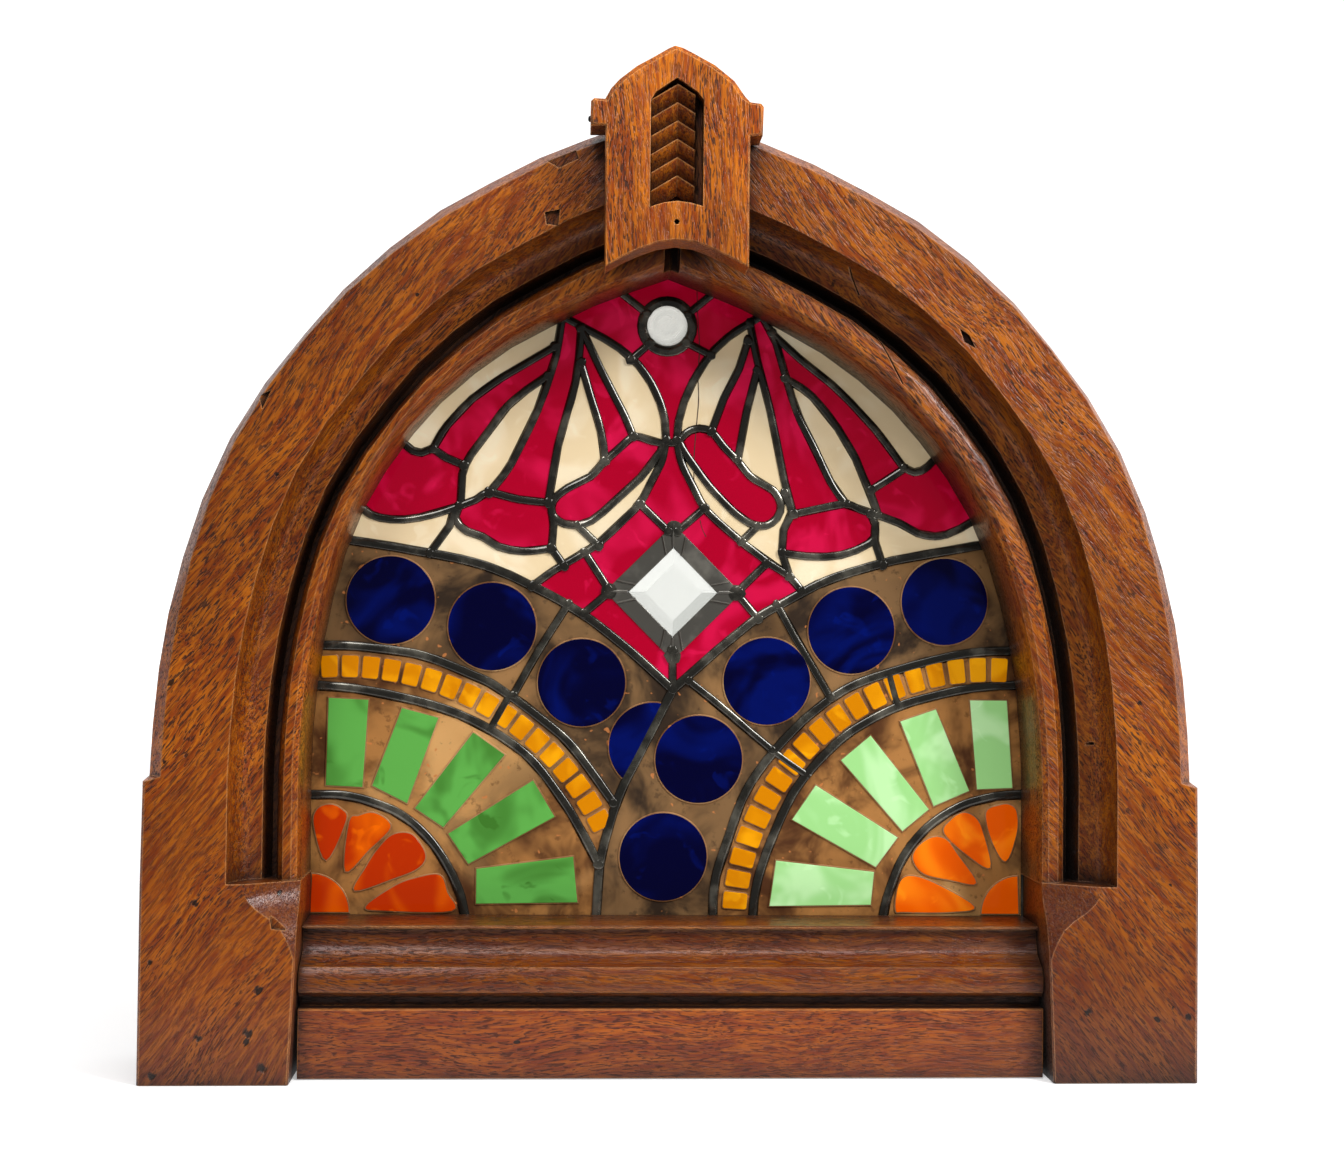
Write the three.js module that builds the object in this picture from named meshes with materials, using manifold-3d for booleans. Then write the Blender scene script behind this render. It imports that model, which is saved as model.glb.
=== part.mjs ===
// Pointed-arch window: oak frame of two carved halves, keystone, moulded sill and base board,
// round a leaded panel of coloured glass and patinated copper plates. Millimetres, +Z up, front faces -Y.
import * as THREE from 'three';
import { mergeVertices } from 'three/addons/utils/BufferGeometryUtils.js';
import Module from 'manifold-3d';

const wasm = await Module();
wasm.setup();

// ---------------------------------------------------------------- driving dimensions (mm)
const WIDTH = 635;              // over the two plinth blocks
const DEPTH = 100;              // arch front face to back face
const KEY_PROUD = 24;           // keystone board stands this far in front of the arch face
const SHELF_Z = 118.2;          // level shelf on which the mouldings end
const STOP_FOOT = 74;           // foot of the ogee stop on the block's inner front corner
const INNER_X = 226;            // block inner face above the stop foot
const INNER_X_FOOT = 229;       // block inner face at the ground, worn outwards
const SILL_TOP = 90.5;
const APEX_X = -6;              // the crown has settled a little to the left
const PANEL_Y = 72;             // centre plane of the leaded panel
const CAME_T = 6;               // came thickness front to back
const CAME_W = 4.8;             // came face width
const ZONE_W = 5.6;             // heavier came on the large arcs
const GLASS_T = 3;
const GROOVE = 7;               // depth of the groove that holds the panel
const GAP = 0.3;                // clearance between touching pieces

// ---------------------------------------------------------------- solid helpers
function toManifold(geometry) {
  const g = new THREE.BufferGeometry();
  g.setAttribute('position', geometry.getAttribute('position').clone());
  if (geometry.index) g.setIndex(geometry.index.clone());
  const m = mergeVertices(g, 1e-4);
  const p = m.getAttribute('position').array;
  const idx = Array.from(m.index.array);
  let vol = 0;
  for (let i = 0; i < idx.length; i += 3) {
    const a = idx[i] * 3, b = idx[i + 1] * 3, c = idx[i + 2] * 3;
    vol += p[a] * (p[b + 1] * p[c + 2] - p[b + 2] * p[c + 1])
         - p[a + 1] * (p[b] * p[c + 2] - p[b + 2] * p[c])
         + p[a + 2] * (p[b] * p[c + 1] - p[b + 1] * p[c]);
  }
  if (vol < 0) {
    for (let i = 0; i < idx.length; i += 3) {
      const t = idx[i];
      idx[i] = idx[i + 1];
      idx[i + 1] = t;
    }
  }
  const mesh = new wasm.Mesh({
    numProp: 3,
    vertProperties: new Float32Array(p),
    triVerts: new Uint32Array(idx),
  });
  return new wasm.Manifold(mesh);
}

function toGeometry(solid) {
  const mesh = solid.getMesh();
  const src = mesh.vertProperties;
  const out = new Float32Array(mesh.triVerts.length * 3);
  for (let i = 0; i < mesh.triVerts.length; i += 1) {
    const v = mesh.triVerts[i] * mesh.numProp;
    out[i * 3] = src[v];
    out[i * 3 + 1] = src[v + 1];
    out[i * 3 + 2] = src[v + 2];
  }
  const g = new THREE.BufferGeometry();
  g.setAttribute('position', new THREE.BufferAttribute(out, 3));
  g.computeVertexNormals();
  return g;
}

// Triangles of a flat outline, each wound the same way round as the outline itself.
function capFaces(outline) {
  const contour = outline.map((p) => new THREE.Vector2(p[0], p[1]));
  const turn = Math.sign(THREE.ShapeUtils.area(contour));
  return THREE.ShapeUtils.triangulateShape(contour, []).map(([i, j, k]) => {
    const area = THREE.ShapeUtils.area([contour[i], contour[j], contour[k]]);
    return Math.sign(area) === turn ? [i, j, k] : [i, k, j];
  });
}

// Closed body through equal-length rings; each end cap is triangulated in the two axes named for it.
function loft(rings, axes0, axes1 = axes0) {
  const n = rings[0].length;
  const pos = [];
  rings.forEach((ring) => ring.forEach((q) => pos.push(q[0], q[1], q[2])));
  const idx = [];
  for (let r = 0; r < rings.length - 1; r += 1) {
    for (let i = 0; i < n; i += 1) {
      const a = r * n + i, b = r * n + (i + 1) % n;
      idx.push(a, b, a + n, b, b + n, a + n);
    }
  }
  const last = (rings.length - 1) * n;
  capFaces(rings[0].map((q) => [q[axes0[0]], q[axes0[1]]])).forEach(([i, j, k]) => idx.push(i, k, j));
  capFaces(rings[rings.length - 1].map((q) => [q[axes1[0]], q[axes1[1]]])).forEach(([i, j, k]) => {
    idx.push(i + last, j + last, k + last);
  });
  const g = new THREE.BufferGeometry();
  g.setAttribute('position', new THREE.Float32BufferAttribute(pos, 3));
  g.setIndex(idx);
  return g;
}

// Prism of a closed (x, z) outline between two y values.
function slab(outline, y0, y1) {
  const n = outline.length;
  const pos = [];
  outline.forEach((p) => pos.push(p[0], y0, p[1]));
  outline.forEach((p) => pos.push(p[0], y1, p[1]));
  const idx = [];
  capFaces(outline).forEach(([a, b, c]) => idx.push(a, b, c, a + n, c + n, b + n));
  for (let i = 0; i < n; i += 1) {
    const j = (i + 1) % n;
    idx.push(i, i + n, j, j, i + n, j + n);
  }
  const g = new THREE.BufferGeometry();
  g.setAttribute('position', new THREE.Float32BufferAttribute(pos, 3));
  g.setIndex(idx);
  return toManifold(g);
}

function block(x0, x1, y0, y1, z0, z1) {
  return slab([[x0, z0], [x1, z0], [x1, z1], [x0, z1]], y0, y1);
}

// Smooth line through control points, thinned to the fewest points that keep its shape.
function smooth(points, closed = false, tolerance = 0.6) {
  if (points.length < 3) return points;
  const knots = points.map((p) => new THREE.Vector3(p[0], p[1], 0));
  const curve = new THREE.CatmullRomCurve3(knots, closed, 'centripetal');
  const fine = curve.getPoints(points.length * 10).map((p) => [p.x, p.y]);
  const keep = (a, b) => {
    let far = 0, at = -1;
    const dx = fine[b][0] - fine[a][0], dz = fine[b][1] - fine[a][1];
    const len = Math.hypot(dx, dz) || 1e-9;
    for (let i = a + 1; i < b; i += 1) {
      const ex = fine[i][0] - fine[a][0], ez = fine[i][1] - fine[a][1];
      const d = len < 1e-6 ? Math.hypot(ex, ez) : Math.abs(ex * dz - ez * dx) / len;
      if (d > far) {
        far = d;
        at = i;
      }
    }
    if (far < tolerance) return [b];
    return [...keep(a, at), ...keep(at, b)];
  };
  if (!closed) return [fine[0], ...keep(0, fine.length - 1).map((i) => fine[i])];
  const half = Math.floor(fine.length / 2);
  return [...keep(0, half), ...keep(half, fine.length - 1)].map((i) => fine[i]);
}

// Flat bar of even width along an open (x, z) line, mitred at the bends.
function bar(line, width, y0, y1, grow = 0) {
  const h = width / 2 + grow;
  const left = [];
  const right = [];
  for (let i = 0; i < line.length; i += 1) {
    const a = line[Math.max(0, i - 1)], b = line[i], c = line[Math.min(line.length - 1, i + 1)];
    const d1 = new THREE.Vector2(b[0] - a[0], b[1] - a[1]);
    const d2 = new THREE.Vector2(c[0] - b[0], c[1] - b[1]);
    if (i === 0) d1.copy(d2);
    if (i === line.length - 1) d2.copy(d1);
    d1.normalize();
    d2.normalize();
    const n = new THREE.Vector2(-d1.y - d2.y, d1.x + d2.x).normalize();
    const k = h / Math.max(0.5, n.dot(new THREE.Vector2(-d1.y, d1.x)));
    left.push([b[0] + n.x * k, b[1] + n.y * k]);
    right.push([b[0] - n.x * k, b[1] - n.y * k]);
  }
  return slab([...left, ...right.reverse()], y0, y1);
}

function disc(x, z, radius, sides, turn = 0) {
  return Array.from({ length: sides }, (_, i) => {
    const a = turn + i * 2 * Math.PI / sides;
    return [x + radius * Math.cos(a), z + radius * Math.sin(a)];
  });
}

// ---------------------------------------------------------------- arch line and section
// Half width and height of the sight line (edge of the visible glass) from the shelf to the crown,
// with how far the sight line and the outer mouldings have settled sideways at each station.
const SIGHT = [
  [225.5, 117.4, -1.0, 0], [225.5, 178.6, -1.2, 0], [225.5, 181.4, -1.2, 0], [224.5, 205, -1.5, 0],
  [222, 235, -1.6, 0], [218, 262, -1.9, 0], [212, 290, -2.4, 0], [204, 318, -3.0, 0],
  [193, 345, -3.5, 0], [178.5, 370, -4.0, 0], [161.5, 393, -4.6, 0], [144, 413, -5.0, -0.3],
  [122.5, 432, -5.4, -0.8], [99, 449, -5.8, -1.6], [73.5, 463, -6, -2.6], [47, 476.5, -6, -4],
  [23, 486, -6, -5], [0, 494.5, APEX_X, APEX_X],
];
// Distances outwards from the sight line: bead, arris of the cove, front arris, outer arris, outline.
const SPREAD = [
  { at: 0, bead: 16, cove: 24.5, arris: 41.5, edge: 80.5, outline: 89.5 },
  { at: 5, bead: 16, cove: 24.5, arris: 41.5, edge: 80.8, outline: 88.5 },
  { at: 10, bead: 16.3, cove: 24.3, arris: 40.2, edge: 80.9, outline: 84.6 },
  { at: 13, bead: 18.5, cove: 26.5, arris: 43.5, edge: 80.8, outline: 87.2 },
  { at: 17, bead: 20.5, cove: 28, arris: 45.5, edge: 81.5, outline: 88 },
];
const COVE_DEPTH = 25;
const BEAD_FRONT = 18.5;
const BEAD_EDGE = 28;
const GROOVE_DEPTH = 39;
const CHAMFER_DEPTH = 10;
const BACK_ARRIS = 3;

function spreadAt(i) {
  let k = 0;
  while (k < SPREAD.length - 2 && SPREAD[k + 1].at < i) k += 1;
  const a = SPREAD[k], b = SPREAD[k + 1];
  const t = (i - a.at) / (b.at - a.at);
  const mix = (key) => a[key] + (b[key] - a[key]) * t;
  return {
    bead: mix('bead'),
    cove: mix('cove'),
    arris: mix('arris'),
    edge: mix('edge'),
    outline: mix('outline'),
  };
}

function outward(i) {
  if (i < 3) return [1, 0];
  if (i === SIGHT.length - 1) return [0, 1.064];
  const a = SIGHT[i - 1], b = SIGHT[i + 1];
  const dx = b[0] - a[0], dz = b[1] - a[1];
  const len = Math.hypot(dx, dz);
  return [dz / len, -dx / len];
}

function sightPoint(side, i, u, outerLean) {
  const s = SIGHT[i];
  const [nx, nz] = outward(i);
  const blend = THREE.MathUtils.clamp((u - GROOVE) / 9, 0, 1);
  const lean = outerLean ? s[2] + (s[3] - s[2]) * blend : s[2];
  return [side * (s[0] + u * nx) + lean, s[1] + u * nz];
}

function section(i) {
  const d = spreadAt(i);
  const y0 = PANEL_Y - CAME_T / 2 - 0.4;
  const y1 = PANEL_Y + CAME_T / 2 + 0.4;
  const pts = [[0, DEPTH], [0, y1], [GROOVE, y1], [GROOVE, y0], [0, y0], [0, BEAD_EDGE]];
  [0.13, 0.33, 0.67, 0.87].forEach((t) => {
    const x = 2 * t - 1;
    pts.push([d.bead * t, BEAD_EDGE - (BEAD_EDGE - BEAD_FRONT) * Math.sqrt(1 - x * x)]);
  });
  pts.push([d.bead, BEAD_EDGE], [d.bead, GROOVE_DEPTH], [d.bead + (d.cove - d.bead) * 0.5, GROOVE_DEPTH]);
  for (let k = 4; k >= 0; k -= 1) {
    const a = k * Math.PI / 8;
    pts.push([d.cove + (d.arris - d.cove) * Math.cos(a), COVE_DEPTH * Math.sin(a)]);
  }
  if (i < 2) {
    const w = WIDTH / 2 - SIGHT[0][0];
    const top = i === 1 ? 0.8 : 0;
    pts.push([w - 1.5 - top, 0], [w - top, 1.5], [w - top, DEPTH - BACK_ARRIS], [w - BACK_ARRIS, DEPTH]);
  } else {
    pts.push([d.edge, 0], [d.outline, CHAMFER_DEPTH]);
    pts.push([d.outline, DEPTH - BACK_ARRIS], [d.outline - BACK_ARRIS, DEPTH]);
  }
  return pts;
}

// Ogee stop on the block's inner front corner: height, reach of the bevel along the front face.
const OGEE = [
  [STOP_FOOT, 1], [79, 2.5], [85, 5], [92, 9], [97.5, 15], [103, 23], [108, 28], [114, 31.5], [SHELF_Z, 32],
];

function plinthRing(side, z, reach) {
  const foot = THREE.MathUtils.clamp(1 - z / STOP_FOOT, 0, 1);
  const inner = INNER_X + (INNER_X_FOOT - INNER_X) * foot;
  const w = WIDTH / 2;
  return [
    [inner, DEPTH], [inner, reach * 0.62 + 0.4], [inner + reach, 0], [w - 1.5, 0],
    [w, 1.5], [w, DEPTH - BACK_ARRIS], [w - BACK_ARRIS, DEPTH],
  ].map(([x, y]) => [side * x, y, z]);
}

// Slit or bite taken out of a solid: a thin box laid along a line in the front plane.
function slit(x0, z0, x1, z1, width, y0, y1) {
  return bar([[x0, z0], [x1, z1]], width, y0, y1);
}

function archHalf(side) {
  const rings = SIGHT.map((s, i) => section(i).map(([u, y]) => {
    const [x, z] = sightPoint(side, i, u, true);
    return [x, y, z];
  }));
  const arch = toManifold(loft(rings, [0, 1], [2, 1]));
  const rows = [plinthRing(side, 0, 1), ...OGEE.map(([z, reach]) => plinthRing(side, z, reach))];
  let half = arch.add(toManifold(loft(rows, [0, 1])));
  const grooveX = [side * 215 - 1.1, side * (SIGHT[0][0] + GROOVE) - 1.1].sort((a, b) => a - b);
  const grooveFront = PANEL_Y - CAME_T / 2 - 0.4;
  const grooveBack = PANEL_Y + CAME_T / 2 + 0.4;
  const groove = block(grooveX[0], grooveX[1], grooveFront, grooveBack, SILL_TOP - GROOVE, SHELF_Z + 1);
  half = half.subtract(groove);
  // the two halves meet under the keystone; their beads stop short and leave a dark gap there
  const joint = APEX_X + side * GAP / 2;
  const beyond = side < 0 ? [joint, 60] : [-60, joint];
  half = half.subtract(block(beyond[0], beyond[1], -5, 110, 440, 620));
  return half.subtract(side < 0 ? block(-10.8, 0, 10, 37, 480, 517) : block(-12, -1.2, 10, 37, 480, 517));
}

// wear on the left half: bites in the ogee stop, the outer arris and the front arris of the cove
let archLeft = archHalf(-1);
archLeft = archLeft.subtract(slab([[-241, 99], [-234, 100], [-232, 91], [-240, 92]], -2, 2.2));
archLeft = archLeft.subtract(slab([[-252, 408], [-245, 411], [-250, 400]], -2, 2.5));
archLeft = archLeft.subtract(slab([[-276, 374], [-268, 380], [-273, 366]], -2, 2.5));
archLeft = archLeft.subtract(slab([[-83, 552], [-66, 559], [-64, 554], [-76, 548]], -2, 1.6));
archLeft = archLeft.subtract(slab([[-84, 521], [-75, 523], [-76, 513], [-83, 514]], -2, 2.6));
// wear on the right half: the long crack through cove and bead, a short one lower, a bite at the arris
let archRight = archHalf(1);
archRight = archRight.subtract(slit(102, 494, 110, 479, 0.7, 10, 28));
archRight = archRight.subtract(slit(115, 466, 137, 424, 0.8, 10, 30));
archRight = archRight.subtract(slit(245, 202, 258, 204, 1.6, 8, 24));
archRight = archRight.subtract(slab([[168, 456], [174, 452], [178, 444], [171, 448]], -2, 3));

// ---------------------------------------------------------------- keystone
const KEY_OUTLINE = [
  // x, z, front arris
  [-48, 484.5, 0.8], [-38, 490.5, 0.8], [-27.5, 495.5, 0.8], [-17, 499.5, 0.8], [-6, 501.3, 0.8],
  [5, 500.2, 0.8], [14, 497, 0.8], [25, 492, 0.8], [37, 486, 0.8],
  [37, 564, 0.8], [44.5, 564.5, 1.2], [45, 581.5, 1.2], [43.5, 583.5, 1.2], [37, 584.2, 1.2],
  [34, 588, 3], [27.6, 597, 3], [16, 606.2, 3], [3.5, 612.8, 3], [-3, 616, 3], [-8, 617.3, 3],
  [-12, 615.4, 3], [-20, 610.5, 3], [-30.5, 604.5, 3], [-40.5, 596.5, 3], [-45.5, 591, 3], [-49, 584.3, 2],
  [-55.5, 584.3, 1.2], [-57.4, 582.5, 1.2], [-57.4, 568, 1.2], [-48.6, 568.2, 0.8],
];
const RECESS = [
  [-22, 520.4], [-14, 523.2], [-6, 524.3], [2, 523.4], [9.4, 521.5], [9.4, 584.5], [5.7, 589.3],
  [-6.6, 597.5], [-19, 588.9], [-22, 584],
];
const RECESS_DEPTH = 14;
const CHEVRONS = 6;
const CHEVRON_PITCH = 10.9;
const CHEVRON_LIP = 2.6;         // chevron top arris behind the keystone's face
const CHEVRON_SINK = 10.4;       // and how deep its slope runs in under the next

function keystone() {
  const front = -KEY_PROUD - GAP;
  const back = -GAP;
  const inset = KEY_OUTLINE.map((p, i) => {
    const a = KEY_OUTLINE[(i + KEY_OUTLINE.length - 1) % KEY_OUTLINE.length];
    const b = KEY_OUTLINE[(i + 1) % KEY_OUTLINE.length];
    const d1 = new THREE.Vector2(p[0] - a[0], p[1] - a[1]).normalize();
    const d2 = new THREE.Vector2(b[0] - p[0], b[1] - p[1]).normalize();
    const n = new THREE.Vector2(-d1.y - d2.y, d1.x + d2.x).normalize();
    const k = p[2] / Math.max(0.6, n.dot(new THREE.Vector2(-d1.y, d1.x)));
    return [p[0] + n.x * k, front, p[1] + n.y * k];
  });
  const shoulder = KEY_OUTLINE.map((p) => [p[0], front + p[2], p[1]]);
  const rear = KEY_OUTLINE.map((p) => [p[0], back, p[1]]);
  let body = toManifold(loft([inset, shoulder, rear], [0, 2]));
  body = body.subtract(slab(RECESS, front - 1, front + RECESS_DEPTH));
  for (let i = 0; i < CHEVRONS; i += 1) {
    const top = 594.5 - i * CHEVRON_PITCH;
    const floor = front + RECESS_DEPTH + 1;
    const arms = [[-21.5, 9.6], [-6, 0], [4.4, 6.4]].map(([x, drop]) => {
      const z = top - drop;
      return [
        [x, front + CHEVRON_LIP, z], [x, front + CHEVRON_SINK, z - CHEVRON_PITCH + 0.2],
        [x, floor, z - CHEVRON_PITCH + 0.2], [x, floor, z],
      ];
    });
    const chevron = toManifold(loft(arms, [1, 2]));
    body = body.add(chevron.intersect(slab(RECESS, front - 1, front + RECESS_DEPTH + 2)));
  }
  return body.subtract(slab(disc(-6, 512, 1.7, 6), front - 1, front + 6));
}

// ---------------------------------------------------------------- sill rail and base board
const SILL_PROFILE = [
  [DEPTH, SILL_TOP], [PANEL_Y + 3.4, SILL_TOP], [PANEL_Y + 3.4, SILL_TOP - 6],
  [PANEL_Y - 3.4, SILL_TOP - 6], [PANEL_Y - 3.4, SILL_TOP],
  [29, 90], [28, 89.2], [28.2, 88], [32, 87.2], [32.6, 83], [31.4, 77.5], [28, 72.5],
  [22, 68.6], [17, 66.6], [14.6, 62.5], [13.6, 57], [14.6, 52], [17.5, 49.2], [21, 48.3], [DEPTH, 48.3],
];
const BOARD_PROFILE = [
  [14, 0.5], [14, 41.6], [14.8, 42.2], [24, 42.2], [24, 48], [DEPTH - 4, 48], [DEPTH - 4, 0.5],
];

function rail(profile) {
  const x = INNER_X - GAP;
  const left = profile.map(([y, z]) => [-x, y, z]);
  const right = profile.map(([y, z]) => [x, y, z]);
  return toManifold(loft([left, right], [1, 2]));
}

// ---------------------------------------------------------------- leaded panel
function panelOutline(u) {
  const pts = [];
  const last = SIGHT.length - 1;
  const foot = SILL_TOP - u;
  pts.push([-(SIGHT[0][0] + u) + SIGHT[0][2], foot]);
  for (let i = 1; i < last; i += 1) if (i !== 2) pts.push(sightPoint(-1, i, u, false));
  pts.push(sightPoint(1, last, u, false));
  for (let i = last - 1; i > 0; i -= 1) if (i !== 2) pts.push(sightPoint(1, i, u, false));
  pts.push([SIGHT[0][0] + u + SIGHT[0][2], foot]);
  return pts;
}

// Control points of the lead lines, as x, z: first the heavier leads on the large arcs.
const ZONE_LINES = [
  [[-216, 327], [-208, 326], [-186, 323], [-155, 318], [-129, 313], [-110, 307], [-88, 297], [-67, 286],
    [-47, 273], [-21, 252], [0, 233]],
  [[208, 329], [199, 328], [177, 324], [145, 318], [119, 311], [94, 302], [68, 288], [53, 279], [30, 260],
    [11, 243], [0, 233]],
  [[0, 233], [-8, 217], [-20, 193], [-32, 169], [-41, 141], [-45.5, 119], [-47, 91], [-47.5, 80]],
  [[-233, 259], [-224, 259], [-204, 259], [-173, 256], [-154, 252], [-129, 242], [-110, 233], [-71, 204],
    [-52, 182], [-37, 161]],
  [[-233, 234], [-226, 234], [-204, 232.5], [-172, 227], [-141, 218.5], [-116, 207], [-90, 189], [-68, 161],
    [-57, 143], [-46, 122]],
  [[-233, 165], [-227, 165], [-209, 165], [-190, 161], [-171, 153], [-155, 140], [-143, 124], [-134, 106],
    [-130, 91], [-128, 80]],
  [[228, 260], [217, 260], [197, 259], [178, 256], [146, 247.5], [114, 236], [88, 218], [64, 193], [47, 168],
    [35, 135], [28, 110], [27, 80]],
  [[230, 238], [220, 238], [198, 236.5], [178, 233], [146, 224], [120, 211], [101, 196], [79, 170], [64, 138],
    [54.5, 108], [52, 80]],
  [[231, 168], [223, 168], [205, 166], [185, 160], [166, 148], [151, 131], [142, 112], [137, 95], [135, 80]],
];
const LINES = [
  [[-67, 287], [-85, 258], [-101, 229]],
  [[66, 288], [81, 262], [101, 229]],
  [[10, 239], [33, 221], [64, 195]],
  [[-6, 392], [-8.5, 379], [-15, 366], [-22, 352], [-35, 338], [-49, 325], [-63, 316], [-78, 307], [-90, 298]],
  [[1, 392], [4, 378], [12, 362], [20, 348], [39, 331], [60, 315], [74, 306], [82, 297]],
  [[-22, 351], [-4, 334]],
  [[19, 349], [2, 334]],
  [[-57, 320], [-42, 297]],
  [[-42, 294], [-57, 281]],
  [[59, 314], [41, 296]],
  [[41, 294], [54, 279]],
  [[-0.5, 258], [0, 233]],
  [[-80, 477], [-74, 471], [-59, 463], [-42, 454], [-28, 444], [-18, 432], [-11, 419], [-7, 406], [-6, 392]],
  [[58, 476], [50, 470], [37, 462], [23, 449], [13, 434], [6, 419], [2, 405], [1, 392]],
  [[-7, 390.5], [2, 390.5]],
  [[-19, 473], [-44, 492]],
  [[7, 473], [26, 489]],
  [[-17, 454], [-29, 443]],
  [[6, 455], [22, 447]],
  [[-73, 470], [-76, 448], [-81, 430], [-88, 410], [-98, 388], [-107, 371], [-118, 357]],
  [[-61, 463], [-62.5, 440], [-66, 419], [-74, 391], [-78, 369], [-80.5, 351]],
  [[-61, 441], [-55, 421], [-50, 406], [-46, 390], [-45, 378]],
  [[-60, 461], [-49, 438], [-40, 421], [-32, 406], [-27, 394]],
  [[-137, 348], [-127, 352], [-118, 357], [-100, 353], [-80, 351]],
  [[-79, 352], [-77, 337], [-78, 322]],
  [[-137, 348], [-139, 340], [-133, 333], [-122, 329], [-111, 322.5], [-95, 320], [-78, 322]],
  [[-78, 322], [-70, 311]],
  [[-62, 337], [-48, 324]],
  [[-82, 432], [-96, 422], [-109, 410], [-121, 393], [-131, 379], [-135, 369], [-135.5, 358], [-136, 348]],
  [[-77, 451], [-93, 441], [-112, 429.5], [-131, 415], [-146, 398], [-154, 384]],
  [[-181, 394], [-174, 389], [-168, 383.5], [-161, 381.5], [-154, 384], [-146, 379], [-134, 374]],
  [[-206, 353], [-198, 346], [-190, 341], [-174, 339], [-155, 342], [-137, 348]],
  [[-140, 346], [-142, 337], [-147, 329], [-155, 318]],
  [[54, 474], [63, 458], [70, 435], [78, 411], [90, 387], [101, 365], [110, 353]],
  [[47, 468], [52, 444], [58, 423], [64, 397], [70, 368], [76, 346]],
  [[52, 438], [46, 414], [42, 393], [40, 380]],
  [[46, 457], [40, 438], [31, 420], [23, 398]],
  [[61, 462], [79, 446], [102, 428], [125, 405], [138, 389], [147, 377]],
  [[70, 433], [86, 423], [101, 406], [114, 386], [121, 371], [127, 357], [131, 346]],
  [[126, 362], [137, 369], [147, 376]],
  [[147, 377], [154, 374], [161, 376.5], [168, 384], [175, 391]],
  [[76, 346], [93, 350], [110, 353], [120, 349], [131, 346]],
  [[70, 360], [75, 347], [70, 336], [69, 321]],
  [[69, 321], [87, 319], [106, 320], [120, 325], [128, 331], [129, 339], [126, 347]],
  [[69, 321], [74, 306]],
  [[53, 338], [43, 328]],
  [[131, 346], [145, 341], [156, 335], [166, 333], [177, 335], [192, 343], [202, 351]],
  [[129, 342], [129, 329], [134, 314]],
];
const LOOPS = [
  [[-8, 389], [-16, 391.5], [-27, 394], [-37, 385], [-45, 378], [-54, 368], [-70, 359.5], [-77.5, 352],
    [-78, 344], [-72, 338.5], [-62, 337], [-53, 340], [-41, 350], [-22, 368], [-12, 381]],
  [[3, 390], [5, 395], [9.5, 398.5], [16, 400], [23, 398], [31, 388.5], [40, 379.5], [49, 369], [63, 361],
    [68, 352], [66, 344], [59, 338.5], [50, 339], [39, 346], [22, 363], [12, 376]],
];
// False leads laid over the copper of the amber arcs.
const OVERLAYS = [[[-103, 229], [-115, 208]], [[138, 246], [145, 222]], [[65, 194], [88, 178]]];
const JEWEL = { x: -6, z: 465, glass: 12.5, ring: 19.2 };
const DIAMOND = { x: -0.5, z: 295, glass: 28.6, lead: 43 };

const yFront = PANEL_Y - CAME_T / 2;
const yBack = PANEL_Y + CAME_T / 2;

function square(half) {
  return [[DIAMOND.x + half, DIAMOND.z], [DIAMOND.x, DIAMOND.z + half], [DIAMOND.x - half, DIAMOND.z],
    [DIAMOND.x, DIAMOND.z - half]];
}

function cames(y0, y1, grow) {
  const parts = [];
  ZONE_LINES.forEach((l) => parts.push(bar(smooth(l), ZONE_W, y0, y1, grow)));
  LINES.forEach((l) => parts.push(bar(smooth(l), CAME_W, y0, y1, grow)));
  LOOPS.forEach((l) => {
    const ring = smooth(l, true, 0.5);
    parts.push(bar([...ring, ring[0]], CAME_W, y0, y1, grow));
    parts.push(slab(disc(ring[0][0], ring[0][1], CAME_W / 2 + grow, 8), y0, y1));
  });
  parts.push(slab(disc(JEWEL.x, JEWEL.z, JEWEL.ring + grow, 24), y0, y1));
  parts.push(slab(square(DIAMOND.lead + grow), y0, y1));
  return parts.reduce((a, b) => a.add(b));
}

const perimeter = panelOutline(GROOVE - 1);
let network = cames(yFront, yBack, 0).intersect(slab(perimeter, yFront, yBack));
const border = slab(perimeter, yFront, yBack).subtract(slab(panelOutline(0.8), yFront - 1, yBack + 1));
network = network.add(border);
network = network.subtract(slab(disc(JEWEL.x, JEWEL.z, JEWEL.glass + GAP, 24), yFront - 1, yBack + 1));
network = network.subtract(slab(square(DIAMOND.glass + GAP * 1.5), yFront - 1, yBack + 1));
OVERLAYS.forEach((l) => {
  network = network.add(bar(l, CAME_W, yFront, yFront + 0.6));
});

const glass0 = PANEL_Y - GLASS_T / 2;
const glass1 = PANEL_Y + GLASS_T / 2;
const sheet = slab(panelOutline(0.5), glass0, glass1).subtract(cames(glass0 - 1, glass1 + 1, GAP));
const pieces = sheet.decompose().filter((s) => s.volume() > 25);

// Whether the point x, z lies on a piece's front face.
function holds(solid, x, z) {
  const mesh = solid.getMesh();
  const v = mesh.vertProperties;
  for (let i = 0; i < mesh.triVerts.length; i += 3) {
    const corners = [0, 1, 2].map((k) => mesh.triVerts[i + k] * mesh.numProp);
    if (corners.some((k) => Math.abs(v[k + 1] - glass0) > 1e-3)) continue;
    const [a, b, c] = corners;
    const cross = (p, q) => (v[q] - v[p]) * (z - v[p + 2]) - (v[q + 2] - v[p + 2]) * (x - v[p]);
    const s1 = cross(a, b), s2 = cross(b, c), s3 = cross(c, a);
    if ((s1 >= 0 && s2 >= 0 && s3 >= 0) || (s1 <= 0 && s2 <= 0 && s3 <= 0)) return true;
  }
  return false;
}

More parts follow.
